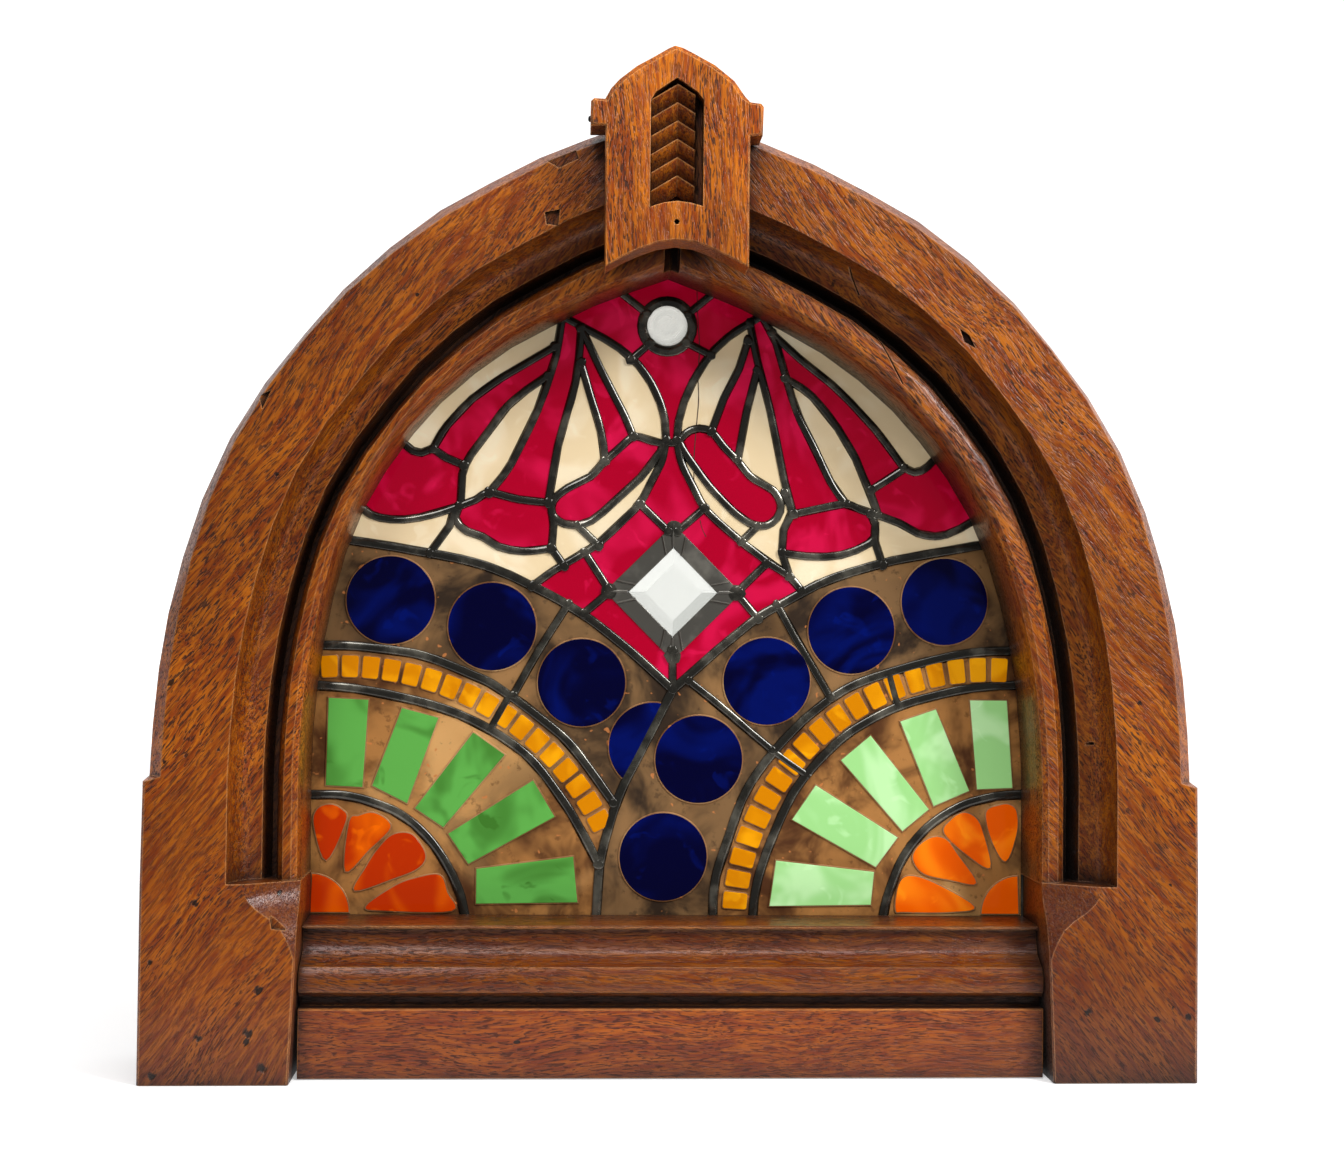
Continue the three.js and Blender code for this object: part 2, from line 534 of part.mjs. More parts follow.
// Clear bevelled square set on its corner.
function diamond() {
  const at = (half, y) => square(half).map(([x, z]) => [x, y, z]);
  const table = at(DIAMOND.glass - 10.5, glass0 - 2.5);
  return toManifold(loft([table, at(DIAMOND.glass, glass0), at(DIAMOND.glass, glass1)], [0, 2]));
}

function pieceAt(name, x, z) {
  const found = pieces.filter((s) => holds(s, x, z));
  if (found.length !== 1) throw new Error(`${name}: ${found.length} pieces at ${x}, ${z}`);
  return found[0];
}

// Glass panes of the upper field: name, colour, a point inside.
const PANES = [
  ['cream_rim_left', 'cream', -131, 424], ['red_blade_left', 'red', -131, 399],
  ['cream_leaf_left', 'cream', -112, 386], ['red_stem_left', 'red', -84, 390],
  ['cream_drop_left', 'cream', -63, 390], ['red_sliver_left', 'red', -46, 410],
  ['cream_petal_left', 'cream', -24, 411], ['red_wing_left', 'red', -169, 363],
  ['cream_foot_left', 'cream', -174, 330], ['red_bell_left', 'red', -112, 338],
  ['cream_base_left', 'cream', -118, 317], ['red_tongue_left', 'red', -41, 365],
  ['cream_crescent_left', 'cream', -38, 346], ['cream_notch_left', 'cream', -66, 326],
  ['cream_rim_right', 'cream', 126, 414], ['red_blade_right', 'red', 120, 393],
  ['cream_leaf_right', 'cream', 104, 388], ['red_stem_right', 'red', 82, 388],
  ['cream_drop_right', 'cream', 57, 393], ['red_sliver_right', 'red', 40, 411],
  ['cream_petal_right', 'cream', 19, 418], ['red_wing_right', 'red', 158, 356],
  ['cream_foot_right', 'cream', 158, 328], ['red_bell_right', 'red', 96, 335],
  ['cream_base_right', 'cream', 102, 312], ['red_tongue_right', 'red', 34, 371],
  ['cream_crescent_right', 'cream', 30, 347], ['cream_notch_right', 'cream', 61, 328],
  ['red_crown_left', 'red', -49, 470], ['red_crown_top', 'red', -6, 487],
  ['red_crown_right', 'red', 27, 468], ['red_throat', 'red', -5, 432],
  ['red_kite', 'red', -2, 352], ['red_strip_upper_left', 'red', -34, 319],
  ['red_strip_upper_right', 'red', 32, 319], ['red_strip_lower_left', 'red', -31, 271],
  ['red_strip_lower_right', 'red', 27, 270], ['red_square_left', 'red', -61, 299],
  ['red_square_right', 'red', 60, 296],
];

// ---------------------------------------------------------------- copper plates with set glass
const RONDEL_R = 27.4;
const RAISE = 0.6;              // set glass stands this much proud of its plate
const AMBER = {
  left: { hub: [-207.5, 62], mid: 184, length: 13.4 },
  right: { hub: [203, 85], mid: 162.6, length: 15 },
};
const AMBER_TILE = { outer: 10.6, inner: 9.8 };

// Outline of a tile set on a ray from the hub, at an angle in degrees from +X.
function rayTile(hub, angle, mid, length, outer, inner) {
  const a = THREE.MathUtils.degToRad(angle);
  const c = Math.cos(a), s = Math.sin(a);
  const at = (r, w) => [hub[0] + r * c - w * s / 2, hub[1] + r * s + w * c / 2];
  const r0 = mid - length / 2, r1 = mid + length / 2;
  return [at(r0, inner), at(r1, outer), at(r1, -outer), at(r0, -inner)];
}

function amberTiles(spec, count, first, last) {
  return Array.from({ length: count }, (_, i) => {
    const angle = first + (last - first) * i / (count - 1);
    return rayTile(spec.hub, angle, spec.mid, spec.length, AMBER_TILE.outer, AMBER_TILE.inner);
  });
}

const GREEN_LEFT = [
  [[-217, 226], [-192, 225], [-195, 170], [-218, 171]], [[-171, 220], [-148, 214], [-167, 160], [-189, 171]],
  [[-126, 205], [-106, 191], [-144, 145], [-162, 157]], [[-141, 141], [-88, 175], [-74, 152], [-128, 122]],
  [[-123, 119], [-62, 127], [-59, 98], [-123, 97]],
];
const GREEN_RIGHT = [
  [[191, 228], [215, 228], [219, 172], [196, 171]], [[146, 214], [169, 222], [191, 170], [168, 160]],
  [[108, 189], [127, 205], [165, 158], [148, 144]], [[92, 173], [145, 140], [131, 121], [77, 151]],
  [[67, 125], [130, 118], [128, 97], [63, 96]],
];
const PETAL_LEFT = [
  [[-217, 124], [-225, 146], [-223, 156], [-215, 159], [-208, 156], [-205, 149]],
  [[-203, 148], [-197, 152], [-188, 154], [-179, 149], [-178, 143], [-190, 131], [-205, 117]],
  [[-176, 140], [-165, 141], [-158, 134], [-155, 126], [-160, 119], [-174, 113], [-199, 105], [-192, 120],
    [-185, 131]],
  [[-192, 95], [-174, 108], [-161, 113], [-146, 115], [-141, 104], [-138, 92.5], [-180, 92.5]],
];
const PETAL_RIGHT = [
  [[202, 156], [211, 161], [218, 161], [222, 156], [222, 143], [215, 125], [206, 138]],
  [[175, 143], [179, 151], [187, 156], [195, 153], [200, 144], [205, 121], [190, 129]],
  [[155, 126], [158, 134], [167, 140], [176, 139], [184, 129], [196, 111], [179, 113], [162, 117]],
  [[144, 94], [146, 110], [153, 115.5], [169, 111], [195, 96], [179, 92.5], [150, 92.5]],
];
const CORNER_LEFT = [[-226, 115], [-214, 112], [-206, 104], [-203, 92], [-226, 92]];
const CORNER_RIGHT = [[223, 116], [214, 114], [206, 107], [203, 97], [203, 92], [223, 92]];
const rounded = (list) => list.map((p) => smooth(p, true, 0.9));
const rondels = (list) => list.map(([x, z]) => disc(x, z, RONDEL_R, 16));
// Plate name, a point on its copper, outlines of the glass set in it.
const PLATES = [
  ['plate_band_left_outer', -152, 308, rondels([[-179, 288], [-115, 272]])],
  ['plate_band_left_inner', -22, 226, rondels([[-58, 237], [-13, 197]])],
  ['plate_band_right_outer', 143, 302, rondels([[174, 291], [114, 272]])],
  ['plate_band_right_inner', 62, 271, rondels([[60, 239]])],
  ['plate_band_lower', 0, 158, rondels([[17, 189], [-5, 127]])],
  ['plate_amber_left', -140, 227, amberTiles(AMBER.left, 17, 92.9, 28.4)],
  ['plate_amber_right', 44, 108, amberTiles(AMBER.right, 19, 87.6, 174.9)],
  ['plate_fan_left', -180, 190, GREEN_LEFT],
  ['plate_fan_right', 181, 190, GREEN_RIGHT],
  ['plate_petals_left', -200, 100, [...rounded(PETAL_LEFT), CORNER_LEFT]],
  ['plate_petals_right', 186, 116, [...rounded(PETAL_RIGHT), CORNER_RIGHT]],
];

function plate(name, x, z, outlines) {
  const base = pieceAt(name, x, z);
  const keep = base.translate([0, -RAISE, 0]).add(base);
  const glass = outlines.map((o) => slab(o, glass0 - RAISE, glass1 - 0.5)).reduce((a, b) => a.add(b));
  return base.add(glass.intersect(keep));
}

const group = new THREE.Group();
const COLOURS = {
  oak: 0x8a4a1c, keystone: 0x94521f, lead: 0x3a3a34, red: 0x9a0626, cream: 0xefe2c4, clear: 0xf2f4f2,
  copper: 0x8a6a48,
};

function addNode(name, solid, colour, finish = 0.6, metal = 0) {
  const material = new THREE.MeshStandardMaterial({
    color: COLOURS[colour],
    roughness: finish,
    metalness: metal,
  });
  material.name = name;
  const geometry = toGeometry(solid);
  geometry.translate(0, (KEY_PROUD + GAP - DEPTH) / 2, 0);
  const mesh = new THREE.Mesh(geometry, material);
  mesh.name = name;
  group.add(mesh);
}

addNode('arch_left', archLeft, 'oak');
addNode('arch_right', archRight, 'oak');
addNode('keystone', keystone(), 'keystone');
addNode('sill_rail', rail(SILL_PROFILE), 'oak');
addNode('base_board', rail(BOARD_PROFILE), 'oak');
addNode('lead_cames', network, 'lead', 0.5, 0.8);
PANES.forEach(([name, colour, x, z]) => addNode(name, pieceAt(name, x, z), colour, 0.1));
PLATES.forEach(([name, x, z, outlines]) => addNode(name, plate(name, x, z, outlines), 'copper', 0.55, 0.5));
addNode('jewel', slab(disc(JEWEL.x, JEWEL.z, JEWEL.glass, 20), glass0 - 2.5, glass1), 'clear', 0.05);
addNode('bevelled_diamond', diamond(), 'clear', 0.05);

export default group;
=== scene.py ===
"""Leaded pointed-arch window in an oak frame. The design is in millimetres, with Y = 0 on the arch face."""
import math
import random

import bmesh
import bpy
from mathutils import Euler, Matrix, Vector, noise


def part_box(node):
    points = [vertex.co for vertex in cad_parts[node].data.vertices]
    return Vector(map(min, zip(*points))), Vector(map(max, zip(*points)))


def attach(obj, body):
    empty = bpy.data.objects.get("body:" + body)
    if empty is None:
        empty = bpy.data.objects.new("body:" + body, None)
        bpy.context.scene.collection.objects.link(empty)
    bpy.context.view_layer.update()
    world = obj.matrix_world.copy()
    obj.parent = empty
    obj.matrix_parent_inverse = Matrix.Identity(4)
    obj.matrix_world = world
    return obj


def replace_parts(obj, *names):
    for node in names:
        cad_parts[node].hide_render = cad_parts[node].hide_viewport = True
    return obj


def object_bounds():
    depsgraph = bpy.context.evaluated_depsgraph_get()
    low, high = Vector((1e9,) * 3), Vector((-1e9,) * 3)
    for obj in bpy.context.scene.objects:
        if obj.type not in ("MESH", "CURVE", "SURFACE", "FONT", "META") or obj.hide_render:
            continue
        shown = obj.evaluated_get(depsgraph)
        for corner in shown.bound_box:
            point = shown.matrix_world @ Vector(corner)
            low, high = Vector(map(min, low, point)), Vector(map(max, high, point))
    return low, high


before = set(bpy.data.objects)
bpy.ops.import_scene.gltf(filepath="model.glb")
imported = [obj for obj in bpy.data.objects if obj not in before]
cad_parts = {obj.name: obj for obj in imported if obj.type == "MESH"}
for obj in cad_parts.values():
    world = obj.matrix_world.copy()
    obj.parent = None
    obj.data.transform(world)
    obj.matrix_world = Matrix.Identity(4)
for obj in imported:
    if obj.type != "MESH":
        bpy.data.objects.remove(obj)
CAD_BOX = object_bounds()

MM = 0.001
FACE_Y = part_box("arch_left")[0].y          # the arch's front face, in metres
FLOOR_Z = CAD_BOX[0][2]
dice = random.Random(11)

# ------------------------------------------------------------------ design lines, x and z in millimetres
GLASS_FRONT = 70.5
GLASS_BACK = 73.5
CAME_FRONT = 68.8
CAME_BACK = 75.2
CAME_WIDTH = 5.0
ARC_WIDTH = 6.0
EDGE_WIDTH = 5.2
PANEL_FOOT = 90.5
JEWEL = {"x": -6, "z": 465, "glass": 12.8, "ring": 19.4}
DIAMOND = {"x": -0.5, "z": 295, "glass": 28.6, "lead": 43}
RONDEL_R = 27.8
AMBER_HUB = {"left": (-207.5, 62, 184), "right": (203, 85, 162.6)}
AMBER_LENGTH = {"left": 13.8, "right": 15.4}

# edge of the opening: half its width, the height, and where its middle stands at that height
SIGHT = [
    [225.5, 178.6, -1.2], [224.5, 205, -1.5], [222, 235, -1.6], [218, 262, -1.9], [212, 290, -2.4],
    [204, 318, -3.0], [193, 345, -3.5], [178.5, 370, -4.0], [161.5, 393, -4.6], [144, 413, -5.0],
    [122.5, 432, -5.4], [99, 449, -5.8], [73.5, 463, -6], [47, 476.5, -6], [23, 486, -6],
    [0, 494.5, -6],
]
# the wide leads that divide the panel, then the narrow ones
ZONE_LINES = [
    [[-216, 327], [-208, 326], [-186, 323], [-155, 318], [-129, 313], [-110, 307], [-88, 297], [-67, 286],
      [-47, 273], [-21, 252], [0, 233]],
    [[208, 329], [199, 328], [177, 324], [145, 318], [119, 311], [94, 302], [68, 288], [53, 279], [30, 260],
      [11, 243], [0, 233]],
    [[0, 233], [-8, 217], [-20, 193], [-32, 169], [-41, 141], [-45.5, 119], [-47, 91], [-47.5, 80]],
    [[-233, 259], [-224, 259], [-204, 259], [-173, 256], [-154, 252], [-129, 242], [-110, 233], [-71, 204],
      [-52, 182], [-37, 161]],
    [[-233, 234], [-226, 234], [-204, 232.5], [-172, 227], [-141, 218.5], [-116, 207], [-90, 189], [-68, 161],
      [-57, 143], [-46, 122]],
    [[-233, 165], [-227, 165], [-209, 165], [-190, 161], [-171, 153], [-155, 140], [-143, 124], [-134, 106],
      [-130, 91], [-128, 80]],
    [[228, 260], [217, 260], [197, 259], [178, 256], [146, 247.5], [114, 236], [88, 218], [64, 193],
      [47, 168], [35, 135], [28, 110], [27, 80]],
    [[230, 238], [220, 238], [198, 236.5], [178, 233], [146, 224], [120, 211], [101, 196], [79, 170],
      [64, 138], [54.5, 108], [52, 80]],
    [[231, 168], [223, 168], [205, 166], [185, 160], [166, 148], [151, 131], [142, 112], [137, 95],
      [135, 80]],
]
LINES = [
    [[-67, 287], [-85, 258], [-101, 229]],
    [[66, 288], [81, 262], [101, 229]],
    [[10, 239], [33, 221], [64, 195]],
    [[-6, 392], [-8.5, 379], [-15, 366], [-22, 352], [-35, 338], [-49, 325], [-63, 316], [-78, 307],
      [-90, 298]],
    [[1, 392], [4, 378], [12, 362], [20, 348], [39, 331], [60, 315], [74, 306], [82, 297]],
    [[-22, 351], [-4, 334]],
    [[19, 349], [2, 334]],
    [[-57, 320], [-42, 297]],
    [[-42, 294], [-57, 281]],
    [[59, 314], [41, 296]],
    [[41, 294], [54, 279]],
    [[-0.5, 258], [0, 233]],
    [[-80, 477], [-74, 471], [-59, 463], [-42, 454], [-28, 444], [-18, 432], [-11, 419], [-7, 406],
      [-6, 392]],
    [[58, 476], [50, 470], [37, 462], [23, 449], [13, 434], [6, 419], [2, 405], [1, 392]],
    [[-7, 390.5], [2, 390.5]],
    [[-19, 473], [-44, 492]],
    [[7, 473], [26, 489]],
    [[-17, 454], [-29, 443]],
    [[6, 455], [22, 447]],
    [[-73, 470], [-76, 448], [-81, 430], [-88, 410], [-98, 388], [-107, 371], [-118, 357]],
    [[-61, 463], [-62.5, 440], [-66, 419], [-74, 391], [-78, 369], [-80.5, 351]],
    [[-61, 441], [-55, 421], [-50, 406], [-46, 390], [-45, 378]],
    [[-60, 461], [-49, 438], [-40, 421], [-32, 406], [-27, 394]],
    [[-137, 348], [-127, 352], [-118, 357], [-100, 353], [-80, 351]],
    [[-79, 352], [-77, 337], [-78, 322]],
    [[-137, 348], [-139, 340], [-133, 333], [-122, 329], [-111, 322.5], [-95, 320], [-78, 322]],
    [[-78, 322], [-70, 311]],
    [[-62, 337], [-48, 324]],
    [[-82, 432], [-96, 422], [-109, 410], [-121, 393], [-131, 379], [-135, 369], [-135.5, 358], [-136, 348]],
    [[-77, 451], [-93, 441], [-112, 429.5], [-131, 415], [-146, 398], [-154, 384]],
    [[-181, 394], [-174, 389], [-168, 383.5], [-161, 381.5], [-154, 384], [-146, 379], [-134, 374]],
    [[-206, 353], [-198, 346], [-190, 341], [-174, 339], [-155, 342], [-137, 348]],
    [[-140, 346], [-142, 337], [-147, 329], [-155, 318]],
    [[54, 474], [63, 458], [70, 435], [78, 411], [90, 387], [101, 365], [110, 353]],
    [[47, 468], [52, 444], [58, 423], [64, 397], [70, 368], [76, 346]],
    [[52, 438], [46, 414], [42, 393], [40, 380]],
    [[46, 457], [40, 438], [31, 420], [23, 398]],
    [[61, 462], [79, 446], [102, 428], [125, 405], [138, 389], [147, 377]],
    [[70, 433], [86, 423], [101, 406], [114, 386], [121, 371], [127, 357], [131, 346]],
    [[126, 362], [137, 369], [147, 376]],
    [[147, 377], [154, 374], [161, 376.5], [168, 384], [175, 391]],
    [[76, 346], [93, 350], [110, 353], [120, 349], [131, 346]],
    [[70, 360], [75, 347], [70, 336], [69, 321]],
    [[69, 321], [87, 319], [106, 320], [120, 325], [128, 331], [129, 339], [126, 347]],
    [[69, 321], [74, 306]],
    [[53, 338], [43, 328]],
    [[131, 346], [145, 341], [156, 335], [166, 333], [177, 335], [192, 343], [202, 351]],
    [[129, 342], [129, 329], [134, 314]],
]
# false leads laid over the copper of the amber arcs
FALSE_LEADS = [[[-103, 229], [-115, 208]], [[138, 246], [145, 222]], [[65, 194], [88, 178]]]
# leads all round the two red tongues
LOOPS = [
    [[-8, 389], [-16, 391.5], [-27, 394], [-37, 385], [-45, 378], [-54, 368], [-70, 359.5], [-77.5, 352],
      [-78, 344], [-72, 338.5], [-62, 337], [-53, 340], [-41, 350], [-22, 368], [-12, 381]],
    [[3, 390], [5, 395], [9.5, 398.5], [16, 400], [23, 398], [31, 388.5], [40, 379.5], [49, 369], [63, 361],
      [68, 352], [66, 344], [59, 338.5], [50, 339], [39, 346], [22, 363], [12, 376]],
]
# glass set in the copper plates: fan blades and petals, each side from the outside inwards
GREEN_LEFT = [
    [[-217, 226], [-192, 225], [-195, 170], [-218, 171]],
    [[-171, 220], [-148, 214], [-167, 160], [-189, 171]],
    [[-126, 205], [-106, 191], [-144, 145], [-162, 157]],
    [[-141, 141], [-88, 175], [-74, 152], [-128, 122]],
    [[-123, 119], [-62, 127], [-59, 98], [-123, 97]],
]
GREEN_RIGHT = [
    [[191, 228], [215, 228], [219, 172], [196, 171]],
    [[146, 214], [169, 222], [191, 170], [168, 160]],
    [[108, 189], [127, 205], [165, 158], [148, 144]],
    [[92, 173], [145, 140], [131, 121], [77, 151]],
    [[67, 125], [130, 118], [128, 97], [63, 96]],
]
PETAL_LEFT = [
    [[-217, 124], [-225, 146], [-223, 156], [-215, 159], [-208, 156], [-205, 149]],
    [[-203, 148], [-197, 152], [-188, 154], [-179, 149], [-178, 143], [-190, 131], [-205, 117]],
    [[-176, 140], [-165, 141], [-158, 134], [-155, 126], [-160, 119], [-174, 113], [-199, 105], [-192, 120],
     [-185, 131]],
    [[-192, 95], [-174, 108], [-161, 113], [-146, 115], [-141, 104], [-138, 92.5], [-180, 92.5]],
]
PETAL_RIGHT = [
    [[202, 156], [211, 161], [218, 161], [222, 156], [222, 143], [215, 125], [206, 138]],
    [[175, 143], [179, 151], [187, 156], [195, 153], [200, 144], [205, 121], [190, 129]],
    [[155, 126], [158, 134], [167, 140], [176, 139], [184, 129], [196, 111], [179, 113], [162, 117]],
    [[144, 94], [146, 110], [153, 115.5], [169, 111], [195, 96], [179, 92.5], [150, 92.5]],
]


# ------------------------------------------------------------------ placing and shaping
def spot(x, y, z):
    """A design point in metres, in the frame of the CAD."""
    return Vector((x * MM, FACE_Y + y * MM, z * MM))


def smooth(points, closed=False, steps=5):
    """The points joined by an even Catmull-Rom curve."""
    count = len(points)
    out = []
    spans = count if closed else count - 1
    for i in range(spans):
        if closed:
            a, b, c, d = (Vector(points[(i + k) % count]) for k in (-1, 0, 1, 2))
        else:
            a, b, c, d = (Vector(points[min(max(i + k, 0), count - 1)]) for k in (-1, 0, 1, 2))
        for s in range(steps):
            t = s / steps
            out.append(0.5 * (2 * b + (c - a) * t + (2 * a - 5 * b + 4 * c - d) * t * t
                              + (3 * b - a - 3 * c + d) * t ** 3))
    if not closed:
        out.append(Vector(points[-1]))
    return out


def mitre(path, closed):
    """Unit normals in the plane of the panel at each point of a path, lengthened at the bends."""
    count = len(path)
    normals = []
    for i in range(count):
        before = path[i - 1] if closed or i else path[i]
        after = path[(i + 1) % count] if closed or i < count - 1 else path[i]
        into = (path[i] - before) if (path[i] - before).length else (after - path[i])
        away = (after - path[i]) if (after - path[i]).length else into
        into = into.normalized()
        away = away.normalized()
        across = Vector((-into.y - away.y, into.x + away.x)).normalized()
        normals.append(across / max(0.6, across.dot(Vector((-into.y, into.x)))))
    return normals


def offset(outline, distance):
    """A closed outline moved inwards by a distance, whichever way round it runs."""
    area = sum(a[0] * b[1] - b[0] * a[1] for a, b in zip(outline, outline[1:] + outline[:1]))
    turn = 1 if area > 0 else -1
    points = [Vector(p) for p in outline]
    return [p + n * distance * turn for p, n in zip(points, mitre(points, True))]


def ring_points(x, z, radius, sides):
    return [(x + radius * math.cos(i * math.tau / sides), z + radius * math.sin(i * math.tau / sides))
            for i in range(sides)]


def new_object(name, mesh_maker, material, shade=None):
    """Builds a mesh object with mesh_maker(bm), gives it its finish and lets it ride on the frame."""
    name = name.replace(" ", "_")
    bm = bmesh.new()
    mesh_maker(bm)
    bmesh.ops.recalc_face_normals(bm, faces=bm.faces)
    mesh = bpy.data.meshes.new(name)
    bm.to_mesh(mesh)
    bm.free()
    if shade is not None:
        mesh.shade_smooth()
        mesh.set_sharp_from_angle(angle=math.radians(shade))
    mesh.materials.append(material)
    piece = bpy.data.objects.new(name, mesh)
    bpy.context.scene.collection.objects.link(piece)
    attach(piece, "root")
    return piece


def skin(bm, rings, closed=False):
    """Quads between equal rings of points, with flat caps at both ends unless the rings close."""
    loops = [[bm.verts.new(p) for p in ring] for ring in rings]
    pairs = list(zip(loops, loops[1:] + loops[:1])) if closed else list(zip(loops, loops[1:]))
    for low, high in pairs:
        for i in range(len(low)):
            j = (i + 1) % len(low)
            bm.faces.new((low[i], low[j], high[j], high[i]))
    if not closed:
        bm.faces.new(loops[0][::-1])
        bm.faces.new(loops[-1])


# Section of a came's half: across the lead as a share of its width, and how far out, 1 at the ridge. The ends
# run on into the edges of the glass, as the heart of the lead does.
CAME_SECTION = [
    (-0.68, -0.35), (-0.5, 0.0), (-0.49, 0.34), (-0.43, 0.62), (-0.33, 0.80), (-0.24, 0.86),
    (-0.13, 0.98), (0.0, 1.02), (0.13, 0.98),
    (0.24, 0.86), (0.33, 0.80), (0.43, 0.62), (0.49, 0.34), (0.5, 0.0), (0.68, -0.35),
]


def came(bm, path, width, closed=False, wander=0.25):
    """A lead came along a path, rounded on both faces, a little uneven as if drawn and dressed by hand."""
    middle = (CAME_FRONT + CAME_BACK) / 2
    rise = (CAME_BACK - CAME_FRONT) / 2
    rings = []
    for point, across in zip(path, mitre(path, closed)):
        swell = 1 + 0.05 * noise.noise((point.x * 0.09, point.y * 0.09, 3.0))
        drift = wander * noise.noise((point.x * 0.05, point.y * 0.05, 9.0))
        front = []
        back = []
        for side, lift in CAME_SECTION:
            place = point + across * (side * width * swell + drift)
            front.append(spot(place.x, middle - rise * (0.35 + 0.65 * lift), place.y))
            back.append(spot(place.x, middle + rise * (0.35 + 0.65 * lift), place.y))
        rings.append(front + back[::-1])
    skin(bm, rings, closed=closed)


def solder(bm, x, z, radius, height):
    """A flattened blob of solder on both faces of a joint."""
    sides = 12
    turn = dice.uniform(0, math.tau)
    reach = [radius * dice.uniform(0.86, 1.14) for _ in range(sides)]
    for face, out in ((CAME_FRONT + 0.5, -1), (CAME_BACK - 0.5, 1)):
        rings = []
        for share, lift in ((1.0, -0.6), (0.98, 0.25), (0.8, 0.75), (0.45, 1.0), (0.12, 1.06)):
            rings.append([spot(x + reach[i] * share * math.cos(turn + i * math.tau / sides),
                               face + out * lift * height,
                               z + reach[i] * share * math.sin(turn + i * math.tau / sides))
                          for i in range(sides)])
        skin(bm, rings)


def panel_edge(inset):
    """Half outlines of the panel joined: the sight line moved outwards by inset, closed along the sill."""
    apex_mitre = 1.064
    right = []
    for i, (x, z, lean) in enumerate(SIGHT):
        if i == len(SIGHT) - 1:
            out = Vector((0, apex_mitre))
        elif i == 0:
            out = Vector((1, 0))
        else:
            run = Vector((SIGHT[i + 1][0] - SIGHT[i - 1][0], SIGHT[i + 1][1] - SIGHT[i - 1][1])).normalized()
            out = Vector((run.y, -run.x))
        right.append((x + inset * out.x, z + inset * out.y, lean))
    foot = PANEL_FOOT - inset
    outline = [Vector((-right[0][0] + right[0][2], foot))]
    outline += [Vector((-x + lean, z)) for x, z, lean in right]
    outline += [Vector((x + lean, z)) for x, z, lean in right[-2::-1]]
    outline.append(Vector((right[0][0] + right[0][2], foot)))
    return outline


def prism(bm, outline, front, back, edge):
    """A closed slab of an outline, with a small flat chamfer, edge wide, round its front and back."""
    area = sum(a[0] * b[1] - b[0] * a[1] for a, b in zip(outline, outline[1:] + outline[:1]))
    outline = outline if area > 0 else outline[::-1]
    inner = offset(outline, edge)
    rings = [[spot(p[0], front, p[1]) for p in inner], [spot(p[0], front + edge, p[1]) for p in outline],
             [spot(p[0], back - edge, p[1]) for p in outline], [spot(p[0], back, p[1]) for p in inner]]
    skin(bm, rings)


# ------------------------------------------------------------------ shader arithmetic
class Wire:
    """One output socket of a material's nodes; arithmetic on wires and numbers adds Math nodes."""

    def __init__(self, shade, socket):
        self.shade = shade
        self.socket = socket

    def math(self, operation, *values, clamp=False):
        inputs = dict(enumerate(values))
        return self.shade.node("ShaderNodeMath", {"operation": operation, "use_clamp": clamp}, inputs)

    def __add__(self, other):
        return self.math("ADD", self, other)

    def __sub__(self, other):
        return self.math("SUBTRACT", self, other)

    def __rsub__(self, other):
        return self.math("SUBTRACT", other, self)

    def __mul__(self, other):
        return self.math("MULTIPLY", self, other)

    __radd__ = __add__
    __rmul__ = __mul__

    def held(self):
        """This value held between 0 and 1."""
        return self.math("ADD", self, 0.0, clamp=True)

    def ramp(self, low, high):
        """0 below low, 1 above high, smooth between; low may be the larger."""
        return self.shade.node("ShaderNodeMapRange", {"interpolation_type": "SMOOTHSTEP"},
                               {0: self, 1: low, 2: high, 3: 0.0, 4: 1.0})

    def most(self, other):
        return self.math("MAXIMUM", self, other)


class Shade:
    """A material and the few ways in which its nodes are added."""

    def __init__(self, name):
        self.material = bpy.data.materials.new(name)
        self.material.use_nodes = True
        self.tree = self.material.node_tree
        self.surface = self.tree.nodes["Principled BSDF"]

    def node(self, kind, settings=None, inputs=None, output=0):
        made = self.tree.nodes.new(kind)
        for name, value in (settings or {}).items():
            setattr(made, name, value)
        for name, value in (inputs or {}).items():
            if isinstance(value, Wire):
                self.tree.links.new(value.socket, made.inputs[name])
            else:
                made.inputs[name].default_value = value
        return Wire(self, made.outputs[output])

    def place(self):
        return self.node("ShaderNodeTexCoord", output="Object")

    def turned(self, place, angles, scale=(1, 1, 1)):
        """Coordinates turned by angles in degrees, then stretched."""
        spun = self.node("ShaderNodeMapping", {"vector_type": "POINT"},
                         {"Vector": place, "Rotation": [math.radians(a) for a in angles]})
        return self.node("ShaderNodeVectorMath", {"operation": "MULTIPLY"}, {0: spun, 1: scale})

    def noise(self, place, scale, detail, rough, bend=0.0):
        return self.node("ShaderNodeTexNoise", None, {"Vector": place, "Scale": scale, "Detail": detail,
                                                       "Roughness": rough, "Distortion": bend})

    def dot(self, direction, other):
        """The dot product of two directions."""
        return self.node("ShaderNodeVectorMath", {"operation": "DOT_PRODUCT"},
                         {0: direction, 1: other}, output="Value")

    def mix(self, share, low, high, blend="MIX"):
        """A colour between two colours, or one laid over the other."""
        return self.node("ShaderNodeMix", {"data_type": "RGBA", "blend_type": blend},
                         {0: share, 6: low, 7: high}, output=2)

    def bump(self, height, strength, distance, normal=None):
        inputs = {"Height": height, "Strength": strength, "Distance": distance}
        if normal:
            inputs["Normal"] = normal
        return self.node("ShaderNodeBump", None, inputs)

    def finish(self, **sockets):
        """Sets the shader's sockets; words are the socket names with underscores."""
        for name, value in sockets.items():
            target = self.surface.inputs[name.replace("_", " ")]
            if isinstance(value, Wire):
                self.tree.links.new(value.socket, target)
            else:
                target.default_value = value
        return self.material


